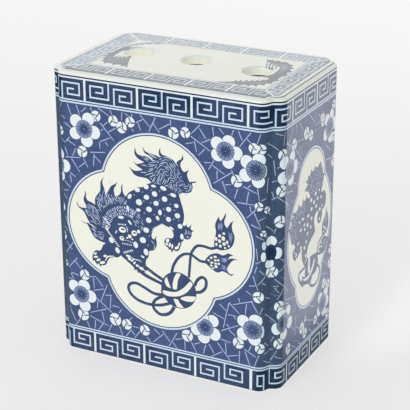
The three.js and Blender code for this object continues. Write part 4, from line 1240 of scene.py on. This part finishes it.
def ring_place(across, flat, length, depth, inset, turn):
    """Where the points of a wall's sheet come to lie in a ring of the shoulder, and how they face.
    The grooves grow shallower as the ring is drawn in."""
    keep = 1 - GROOVE_FADE * inset / SHOULDER_INSET
    full, run = LOBE_TURN * keep, LOBE_RUN * keep
    reach = LOBE_RADIUS * math.sin(full) + run * math.cos(full)
    groove = LOBE_RADIUS * (1 - math.cos(full)) + run * math.sin(full)
    straight = length / 2 - inset - groove - reach
    u = np.abs(across)
    a = full * np.clip((u - flat) / LOBE_ARC, 0, 1)
    past = run * np.clip((u - flat - LOBE_ARC) / LOBE_RUN, 0, 1)
    x = np.sign(across) * (straight * np.minimum(u / flat, 1) + LOBE_RADIUS * np.sin(a) + past * np.cos(a))
    y = LOBE_RADIUS * (1 - np.cos(a)) + past * np.sin(a) - (depth / 2 - inset)
    facing = np.sign(across) * a + turn
    return np.stack(rotated(x, y, turn), 1), facing


SIDES = ((front_sheet, FRONT_FLAT, FRONT_SHEET, LENGTH, DEPTH, 0.0),
         (right_end_sheet, END_FLAT, END_SHEET, DEPTH, LENGTH, math.pi / 2),
         (front_sheet, FRONT_FLAT, FRONT_SHEET, LENGTH, DEPTH, math.pi),
         (left_end_sheet, END_FLAT, END_SHEET, DEPTH, LENGTH, 1.5 * math.pi))

BAND_INSET = 6.1
BAND_SHIFT = (1.0, -1.0)
BAND_WIDTH = 15.0
INNER_LEFT, INNER_RIGHT, INNER_FRONT, INNER_BACK = -71.2, 76.8, -40.4, 37.8
TOP_PERIOD = 32.3
TOP_LINE = 1.6

# The top took the cobalt unevenly: dark in front, paler on the right, palest behind and on the left
TOP_INK, PALER_INK, PALEST_INK = 0.72, 0.52, 0.36
STRIP_INSET = 1.4
RIGHT_STRIP = ((INNER_RIGHT + BAND_WIDTH - STRIP_INSET, 0), (0, 1), (-1, 0))
LEFT_STRIP = ((INNER_LEFT - BAND_WIDTH, 0), (0, -1), (1, 0))


class Placed:
    """Lays outlines on a sheet, moved, turned and scaled: as a second, smaller sheet would be."""

    def __init__(self, sheet, origin, across, up):
        self.sheet, self.origin = sheet, np.array(origin, float)
        self.axes = np.array((across, up), float)

    def lay(self, line, cobalt):
        self.sheet.lay(self.origin + np.array(line, float) @ self.axes, cobalt)


top_print = Transfer()
band_edge = []
for _, flat, half, length, depth, turn in SIDES:
    across = np.r_[-half, np.linspace(-flat - LOBE_ARC, -flat, 6), np.linspace(flat, flat + LOBE_ARC, 6)]
    ring = ring_place(across, flat, length, depth, BAND_INSET, turn)[0] + BAND_SHIFT
    band_edge += [tuple(p) for p in ring]
top_print.lay(band_edge, PALEST_INK)
top_print.lay([(-84.6, -55.4), (INNER_LEFT, INNER_FRONT), (INNER_RIGHT, INNER_FRONT), (88, -52),
               (82, -55.4)], TOP_INK)
top_print.lay([(88, -52), (INNER_RIGHT, INNER_FRONT), (INNER_RIGHT, INNER_BACK), (88, 49.6), (89.9, 44),
               (89.9, -46)], PALER_INK)
for drawn_in, cobalt in ((0.0, BARE), (1.3, FIELD), (2.0, BARE)):
    top_print.lay(bar(INNER_LEFT + drawn_in, INNER_FRONT + drawn_in, INNER_RIGHT - drawn_in,
                      INNER_BACK - drawn_in), cobalt)
squeeze = TOP_PERIOD / KEY_PERIOD
narrow = BAND_WIDTH / KEY_HEIGHT
LOW_EDGE = 0.3
for (origin, along, inward), bars, bar_width in (
        (((0, INNER_FRONT - BAND_WIDTH), (1, 0), (0, 1)), (-46.0, -13.4, 19.2, 51.4), 3.0),
        (((0, INNER_BACK + BAND_WIDTH), (-1, 0), (0, -1)), (-51.4, -19.0, 13.4, 46.0), 3.0),
        (RIGHT_STRIP, (-20.5, 11.8), 1.9), (LEFT_STRIP, (-11.8, 20.5), 1.9)):
    strip = Placed(top_print, origin, np.array(along) * squeeze, np.array(inward) * narrow)
    key_pattern(strip, [b / squeeze for b in bars], LOW_EDGE, KEY_HEIGHT, "second", bar_width, TOP_LINE)
    before = (bars[0] - TOP_PERIOD) / squeeze
    if len(bars) > 2:
        strip.lay(key_line([(before + a, KEY_HEIGHT - b) for a, b in FIRST_SPIRAL], TOP_LINE), BAND)
    strip.lay(key_line([(before + a, LOW_EDGE + b) for a, b in SECOND_SPIRAL], TOP_LINE), BAND)

# Only a hook of the pattern fits at the first corner of each short strip
for strip in (RIGHT_STRIP, LEFT_STRIP):
    Placed(top_print, *strip).lay(key_line([(-35.6, 14.6), (-35.6, 3.2), (-46.5, 3.2), (-40.3, 10.6),
                                            (-39.4, 7.0), (-41.5, 6.6)], 1.2), BAND)

# Pale lines where the strips meet in the corners
for x0, y0, x1, y1 in ((INNER_RIGHT, INNER_FRONT, 88.6, -52.4), (INNER_LEFT, INNER_FRONT, -86.4, -52.8),
                       (INNER_LEFT, INNER_BACK, -85.6, 51.6), (INNER_RIGHT, INNER_BACK, 87.8, 50.4)):
    top_print.brush(BARE, [(x0, y0), (x1, y1)], 1.5, 1.5, steps=1)

# The left scroll: a pale thin arc at the back, a dark body in front that ends in rounded scallops
top_print.shape(PALEST_INK, [(-35, 37), (-46, 36.8), (-55.4, 34.4), (-62, 30), (-66.4, 24), (-68.6, 15)],
    [(-65, 13), (-64.6, 19.4)], [(-62.2, 20.4), (-62, 23.4)], [(-58.6, 24.4), (-58.4, 27.6)],
    [(-54, 27.6), (-53.4, 30.6)], [(-48.6, 30.4), (-47, 33.6), (-42, 35.2)])
top_print.shape(TOP_INK, [(-68.8, 14), (-69.8, 6), (-70, -4)], [(-72.4, -8), (-69.4, -10)],
    [(-71.4, -15), (-67.8, -16.6)], [(-69, -21.4), (-65.4, -22.4)], [(-66, -27), (-61.6, -29.8)],
    [(-60, -34.2), (-58.6, -31), (-55.4, -30.4), (-53, -32)], [(-51.8, -36), (-50.8, -32), (-48, -30.8),
    (-45.8, -32)], [(-44, -36.4), (-43.4, -32.6)], [(-39.4, -34), (-42.4, -27.6), (-45.8, -20.4),
    (-48.8, -13)], [(-50.6, -6.4), (-53, -5.6), (-53.6, -12)], [(-55.6, -7), (-56.4, -14)],
    [(-58.4, -7.6), (-59.2, -15)], [(-61, -8), (-61.8, -15.4)], [(-64, -9), (-64.4, -2), (-64, 5),
    (-62.4, 11), (-64.6, 15)])
hairs(top_print, [(-52.4, -13), (-53.6, -20), (-54.4, -27)], [(-66, -12), (-65, -20), (-60, -28)], 6, 0.6)
top_print.spots(TINT, [(-63.4, -33, 2.4, 1.6, 40), (-56.4, -34, 2.6, 2), (-48.4, -34.6, 2.6, 2, -10)])
top_print.brush(FIELD, [(-65, 4.6), (-65, 10.4), (-62.6, 15.6), (-57, 19.6)], 1.2, 2.4, 0.8)
top_print.brush(BAND, [(-63.4, 8), (-62.2, 12.4), (-59, 16.4), (-54, 19)], 0.6, 1, 0.4)

# The right scroll: thick at both ends, with a feathery edge, and loose strands by the hole
top_print.shape(TOP_INK, [(43.6, 33), (46.6, 29.6), (49.6, 31.4)], [(51, 28.8), (54.4, 30.8),
    (57.6, 28.6)], [(59.4, 30.4), (63.2, 28.6), (65.4, 25.8)], [(69.2, 25.4), (69, 21)],
    [(72.6, 18), (71.4, 13)], [(74.8, 9), (72.8, 4)], [(75, -1), (73, -6), (73, -12)], [(75, -17),
    (72.6, -20)], [(73.8, -25), (70, -26.4)], [(70.6, -31.6), (66.4, -30.6)], [(66.6, -36), (62.4, -33.6)],
    [(61, -37.8), (57.4, -35.4)], [(54, -38.2), (50, -36.6), (44, -37.4), (36, -37.2), (42, -34.4),
    (46.6, -31.4)], [(46.4, -27), (49.4, -30)], [(50, -25), (52.6, -28.6)], [(54, -22.6), (56, -27)],
    [(58, -20.4), (59.4, -25.4)], [(61.6, -17.4), (62.4, -23)], [(65, -14.6), (64.6, -19.6), (67, -14.4),
    (62, -12.4), (56, -13.8)], [(52.6, -13.8), (57, -12.2), (61.6, -8.4), (63.6, -1), (64.2, 6),
    (63, 12.6), (60.4, 17.4)], [(57.6, 14.4), (57, 20)], [(54.6, 15.4), (54, 21)], [(51.4, 17), (51, 22.4),
    (47, 25.4)])
for line in ([(48, 24.6), (50.6, 17), (52.6, 12)], [(51.4, 23), (53.8, 15), (56.4, 9.4)],
             [(54.8, 22), (57, 13), (59.6, 6.4)], [(58, 21), (59.6, 14), (61.8, 9)]):
    top_print.brush(KEY, line, 0.5, 1.1, 0.3)
for line in ([(49.6, 24), (52, 16.6), (54, 11.6)], [(53, 23), (55.4, 14.6), (58, 8.6)],
             [(56.4, 22), (58.2, 14), (60.8, 8)]):
    top_print.brush(BAND, line, 0.5, 0.9, 0.3)
hairs(top_print, [(60, 26), (66, 20), (68.6, 10), (69, 0)], [(55, 24), (61.4, 18), (65, 9), (65.6, 0)],
    4, 0.6)
hairs(top_print, [(68, -18), (63, -27), (54, -32)], [(71.4, -20), (66, -29.6), (56, -35)], 3, 0.6)


rim_radii = [HOLE_RADIUS + RIM_TOP * (1 - math.sin(math.pi / 2 * k / RIM_CUTS))
             for k in range(RIM_CUTS + 1)]


def hole_ring(x, y, radius):
    corners = [2 * math.pi * k / HOLE_CORNERS for k in range(HOLE_CORNERS)]
    return [(x + radius * math.cos(a), y + radius * math.sin(a)) for a in corners]


class Shell:
    """Collects a piece's points, faces, normals and cobalt, and joins points that coincide."""

    def __init__(self):
        self.points, self.faces, self.normals, self.cobalt = [], [], [], []
        self.known = {}

    def point(self, p):
        key = tuple(round(float(v), 3) + 0.0 for v in p)
        if key not in self.known:
            self.known[key] = len(self.points)
            self.points.append(tuple(float(v) for v in p))
        return self.known[key]

    def face(self, corners, normals, cobalt=0.0):
        ids, kept = [], []
        for p, n in zip(corners, normals):
            i = self.point(p)
            if not ids or (i != ids[-1] and i != ids[0]):
                ids.append(i)
                kept.append(tuple(n))
        if len(ids) > 2:
            self.faces.append(ids)
            self.normals.append(kept)
            self.cobalt.append(cobalt)

    def strip(self, one, other, cobalts):
        """Faces between two rows of points, each with its normals: a whole ring for as many cobalts."""
        (p0, n0), (p1, n1) = one, other
        for i, amount in enumerate(cobalts):
            j = (i + 1) % len(p0)
            self.face((p0[i], p0[j], p1[j], p1[i]), (n0[i], n0[j], n1[j], n1[i]), amount)

    def sew(self):
        """Gives each face the points that lie on its free edges, so that no seam stays open."""
        uses = {}
        for ids in self.faces:
            for a, b in zip(ids, ids[1:] + ids[:1]):
                uses[min(a, b), max(a, b)] = uses.get((min(a, b), max(a, b)), 0) + 1
        ends = sorted({i for edge, n in uses.items() if n == 1 for i in edge})
        places = np.array(self.points)
        for ids, normals in zip(self.faces, self.normals):
            for k in range(len(ids) - 1, -1, -1):
                j = (k + 1) % len(ids)
                a, b = ids[k], ids[j]
                if uses[min(a, b), max(a, b)] > 1:
                    continue
                run = places[b] - places[a]
                away = places[ends] - places[a]
                share = away @ run / (run @ run)
                off = np.linalg.norm(away - share[:, None] * run, axis=1)
                on = [(t, e) for t, e, o in zip(share, ends, off)
                      if 0 < t < 1 and o < 2 * HAIRSBREADTH and e not in (a, b)]
                for t, e in sorted(on, reverse=True):
                    normals.insert(k + 1, tuple(np.array(normals[k]) * (1 - t) + np.array(normals[j]) * t))
                    ids.insert(k + 1, e)
                    j = k + 1


shell = Shell()
columns = []
under_edge = []
for sheet, flat, _, length, depth, turn in SIDES:
    spots, triangles, cobalt = sheet
    strip = spots[triangles][:, :, 1].mean(1) > UNDER_TOP
    plan, facing = ring_place(spots[:, 0], flat, length, depth, 0.0, turn)
    places = np.c_[plan, spots[:, 1]]
    outward = np.stack([np.sin(facing), -np.cos(facing), np.zeros(len(facing))], 1)
    for t, amount in zip(triangles[strip], cobalt[strip]):
        shell.face(places[t], outward[t], amount)
    for height, rows in ((STRIP_TOP, columns), (UNDER_TOP, under_edge)):
        found = np.flatnonzero(abs(spots[:, 1] - height) < HAIRSBREADTH)
        rows.append(spots[found[np.argsort(spots[found, 0])], 0])

rings = []
for k in range(SHOULDER_CUTS + 1):
    a = math.pi / 2 * k / SHOULDER_CUTS
    inset = SHOULDER_INSET * (1 - math.cos(a))
    lean = math.atan2(math.sin(a) / SHOULDER_RISE, math.cos(a) / SHOULDER_INSET)
    ring = []
    for across, (_, flat, _, length, depth, turn) in zip(columns, SIDES):
        plan, facing = ring_place(across, flat, length, depth, inset, turn)
        height = np.full(len(across), STRIP_TOP + SHOULDER_RISE * math.sin(a))
        out = np.stack([np.sin(facing) * math.cos(lean), -np.cos(facing) * math.cos(lean),
                        np.full(len(across), math.sin(lean))], 1)
        ring.append((np.c_[plan, height], out))
    rings.append(ring)


DASHED_MIDDLE, DASHED_HALF = -8, 34
TOP_LINE_ENDS = (-80, 83)


def shoulder_cobalt(ring, side, along):
    """The dark lines of the shoulder: one on its arris, which broke up in dashes near the middle of
    the long walls, one higher up at the right end, and the front edge of the top's print."""
    whole = side % 2 or abs(along - DASHED_MIDDLE) > DASHED_HALF
    dash = math.sin(along * 0.9) + math.sin(along * 2.3) > 0.3
    if ring == 0 and (whole or dash):
        return KEY
    if ring >= SHOULDER_CUTS - 2 and side == 0 and TOP_LINE_ENDS[0] < along < TOP_LINE_ENDS[1]:
        return TOP_INK
    return FIGURE if ring == SHOULDER_CUTS - 4 and side == 1 else BARE


for k in range(SHOULDER_CUTS):
    for side in range(4):
        low, high = rings[k][side], rings[k + 1][side]
        shell.strip(low, high, [shoulder_cobalt(k, side, p[0]) for p in low[0][:-1]])


def snapped(spots, known):
    """Cut points that lie on known points, moved exactly onto them."""
    spots, known = np.array(spots), np.array(known)
    for i, p in enumerate(spots):
        near = np.abs(known - p).sum(1)
        j = near.argmin()
        if near[j] < 2 * HAIRSBREADTH:
            spots[i] = known[j]
    return spots


flat_edge = [tuple(p[:2]) for points, _ in rings[-1] for p in points[:-1]]
rim_cuts = []
for x, y in HOLE_SPOTS:
    for radius in rim_radii[:-1]:
        ring = hole_ring(x, y, radius)
        rim_cuts += list(zip(ring, ring[1:] + ring[:1]))
bores = [hole_ring(x, y, HOLE_RADIUS) for x, y in HOLE_SPOTS]
spots, triangles, cobalt = top_print.cut_sheet(flat_edge, rim_cuts, bores)
spots = snapped(spots, flat_edge)
height, normals = np.full(len(spots), HEIGHT), np.tile((0.0, 0.0, 1.0), (len(spots), 1))
for x, y in HOLE_SPOTS:
    away = spots - (x, y)
    radius = np.hypot(away[:, 0], away[:, 1])
    rim = np.flatnonzero(radius < HOLE_RADIUS + RIM_TOP)
    over = np.clip((HOLE_RADIUS + RIM_TOP - radius[rim]) / RIM_TOP, 0, 1)
    height[rim] = HEIGHT - RIM_TOP * (1 - np.sqrt(1 - over ** 2))
    normals[rim] = np.c_[-away[rim] / radius[rim][:, None] * over[:, None], np.sqrt(1 - over ** 2)]
places = np.c_[spots, height]
for t, amount in zip(triangles, cobalt):
    shell.face(places[t], normals[t], amount)

under_holes = []
for (x, y), shaded_bore in zip(HOLE_SPOTS, SHADED_BORES):
    away = spots - (x, y)
    lip = np.flatnonzero(np.hypot(away[:, 0], away[:, 1]) < HOLE_RADIUS + HAIRSBREADTH)
    lip = lip[np.argsort(np.arctan2(away[lip, 1], away[lip, 0]))]
    ways = away[lip] / np.hypot(away[lip, 0], away[lip, 1])[:, None]
    levels = [(height[lip], HOLE_RADIUS, 0.0), (SHADE_PAINTED_BELOW, HOLE_RADIUS, 0.0),
              (UNDER_TOP + RIM_UNDER, HOLE_RADIUS, 0.0)]
    for k in range(1, UNDER_CUTS + 1):
        a = math.pi / 2 * k / UNDER_CUTS
        levels.append((UNDER_TOP + RIM_UNDER * (1 - math.sin(a)),
                       HOLE_RADIUS + RIM_UNDER * (1 - math.cos(a)), a))
    steps = []
    for z, radius, lean in levels:
        plan = np.array((x, y)) + ways * radius if lean else spots[lip]
        steps.append((np.c_[plan, np.broadcast_to(z, len(lip))],
                      np.c_[-ways * math.cos(lean), np.full(len(lip), -math.sin(lean))]))
    for k, (one, other) in enumerate(zip(steps, steps[1:])):
        # Painted shade: in a marked bore, the wall below the rim is dark cobalt, in place of the shadow
        # inside
        shell.strip(one, other, [FIELD if k and shaded_bore else BARE] * len(lip))
    under_holes.append([tuple(p[:2]) for p in steps[-1][0]])

edge = []
for across, (_, flat, _, length, depth, turn) in zip(under_edge, SIDES):
    edge += [tuple(p) for p in ring_place(across, flat, length, depth, 0.0, turn)[0][:-1]]
spots, triangles, _ = Transfer().cut_sheet(edge, (), under_holes)
spots = snapped(spots, edge + [p for ring in under_holes for p in ring])
places = np.c_[spots, np.full(len(spots), UNDER_TOP)]
for t in triangles:
    shell.face(places[t[::-1]], [(0, 0, -1)] * 3)

shell.sew()
top_glaze = printed_glaze("printed_top_glaze", 1.0)
finished_piece("glazed_top", shell.points, shell.faces, shell.normals, shell.cobalt, top_glaze,
               "printed_top_glaze", "top_slab")

# Floor, light and camera

CAMERA_AZIMUTH = math.radians(26.937)
CAMERA_RISE = math.radians(21.96)
CAMERA_ROLL = math.radians(-0.20)
CAMERA_DISTANCE = 6.031
CAMERA_ACROSS = -0.03304
CAMERA_UP = -0.56100
FOCAL_PIXELS = 1418.2
IMAGE_PIXELS = 410
SENSOR = 36.0

back = Vector((math.sin(CAMERA_AZIMUTH) * math.cos(CAMERA_RISE),
               -math.cos(CAMERA_AZIMUTH) * math.cos(CAMERA_RISE), math.sin(CAMERA_RISE)))
level = Vector((math.cos(CAMERA_AZIMUTH), math.sin(CAMERA_AZIMUTH), 0))
upward = back.cross(level)
right = math.cos(CAMERA_ROLL) * level + math.sin(CAMERA_ROLL) * upward
up = math.cos(CAMERA_ROLL) * upward - math.sin(CAMERA_ROLL) * level
camera_data = bpy.data.cameras.new("camera")
camera_data.sensor_width = SENSOR
camera_data.lens = FOCAL_PIXELS * SENSOR / IMAGE_PIXELS
camera = in_scene("camera", camera_data)
place = (back * CAMERA_DISTANCE - right * CAMERA_ACROSS - up * CAMERA_UP) * LENGTH * MM
camera.matrix_world = Matrix.Translation(place) @ Matrix((right, up, back)).transposed().to_4x4()
bpy.context.scene.camera = camera
bpy.context.scene.view_settings.view_transform = "Standard"


def slope(tree, value, low, high, to_low=0.0, to_high=1.0):
    """A value that runs from one amount to another between two places."""
    return new_node(tree, "ShaderNodeMapRange", {"Value": value, "From Min": low, "From Max": high,
                                                 "To Min": to_low, "To Max": to_high}).outputs[0]


floor_mesh = plain_mesh("floor", [(-3, -3, 0), (3, -3, 0), (3, 3, 0), (-3, 3, 0)], [(0, 1, 2, 3)])
floor = in_scene("floor", floor_mesh)
floor_paper, tree, surface, place = blank_material("floor_paper")
surface.inputs["Base Color"].default_value = (0.40, 0.40, 0.40, 1)
surface.inputs["Roughness"].default_value = 0.8
surface.inputs["Emission Color"].default_value = (1, 1, 1, 1)

# The paper glows, more towards the back: painted light on the floor, in place of the studio light falling
# there
depth = new_node(tree, "ShaderNodeSeparateXYZ", {"Vector": place}).outputs["Y"]
tree.links.new(slope(tree, depth, 0.1, 1.3, 0.52, 0.64), surface.inputs["Emission Strength"])
floor_mesh.materials.append(floor_paper)
floor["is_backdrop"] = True

WORLD_STRENGTH = 0.675
world = bpy.data.worlds.new("studio")
world.use_nodes = True
world.node_tree.nodes["Background"].inputs["Color"].default_value = (1, 1, 1, 1)
world.node_tree.nodes["Background"].inputs["Strength"].default_value = WORLD_STRENGTH
bpy.context.scene.world = world


def lamp(name, kind, place, power, **settings):
    data = bpy.data.lights.new(name, kind)
    data.energy = power
    for setting, value in settings.items():
        setattr(data, setting, value)
    light = in_scene(name, data)
    light.location = place
    return light


# A square soft box that faces the middle of the pillow
SOFT_BOX_POWER = 23
soft_box = lamp("front_soft_box", "AREA", (-0.35, -2.4, 0.6), SOFT_BOX_POWER, shape="SQUARE", size=1.4)
soft_box.rotation_euler = (Vector((0, 0, 0.1)) - soft_box.location).to_track_quat("-Z", "Y").to_euler()

# Light comes up through the air holes, as it does in a thin white pot
HOLE_POWERS = (0.0225, 0.0225, 0.0300)
HOLE_LAMP_SHIFT, HOLE_LAMP_HEIGHT = 6, 0.195
for (x, y), power in zip(HOLE_SPOTS, HOLE_POWERS):
    place = ((x - HOLE_LAMP_SHIFT) * MM, (y - HOLE_LAMP_SHIFT) * MM, HOLE_LAMP_HEIGHT)
    light = lamp("hole_light", "POINT", place, power, color=(1.0, 0.955, 0.83), shadow_soft_size=0.012)
    light.visible_glossy = False


def reflection_card(name, corners):
    """A glowing card that only the glaze mirrors: neither the camera nor the diffuse light sees it."""
    mesh = plain_mesh(name, corners, [(0, 1, 2, 3)])
    card = in_scene(name, mesh)
    card.visible_camera = card.visible_diffuse = card.visible_shadow = False
    material = bpy.data.materials.new(name)
    material.use_nodes = True
    tree = material.node_tree
    tree.nodes.clear()
    glow = new_node(tree, "ShaderNodeEmission")
    output = new_node(tree, "ShaderNodeOutputMaterial")
    tree.links.new(glow.outputs[0], output.inputs["Surface"])
    mesh.materials.append(material)
    card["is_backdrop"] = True
    return tree, glow


# The table as the walls mirror it: bright behind the pillow's right end, else dim, and dimmer far off
EDGE_ACROSS, EDGE_SLANT, EDGE_START = 0.131, 1.33, 0.05
tree, glow = reflection_card("table_reflection", [(-3, -3, 0.0003), (3, -3, 0.0003), (3, 3, 0.0003),
                                                  (-3, 3, 0.0003)])
place = new_node(tree, "ShaderNodeTexCoord").outputs["Object"]
reach = new_node(tree, "ShaderNodeVectorMath", operation="LENGTH")
tree.links.new(place, reach.inputs[0])
near = slope(tree, reach.outputs["Value"], 0.11, 0.30, 0.25, 0.12)
across, away, _ = new_node(tree, "ShaderNodeSeparateXYZ", {"Vector": place}).outputs
m = partial(math_node, tree)
behind = m("SUBTRACT", away, m("MULTIPLY", m("SUBTRACT", across, EDGE_ACROSS), EDGE_SLANT))
behind = slope(tree, m("MINIMUM", behind, m("SUBTRACT", across, EDGE_START)), -0.02, 0.07)
bright = m("MULTIPLY", behind, slope(tree, across, 0.102, 0.130, 0.35, 1.35))
tree.links.new(m("MAXIMUM", near, bright), glow.inputs["Strength"])

# The white wall behind, as the top mirrors it
tree, glow = reflection_card("wall_reflection", [(-2.4, 0.9, 0.15), (1.2, 1.9, 0.15), (1.2, 1.9, 1.6),
                                                 (-2.4, 0.9, 1.6)])
glow.inputs["Strength"].default_value = 1.5
glow.inputs["Color"].default_value = (1.0, 0.985, 0.93, 1)

low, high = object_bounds()
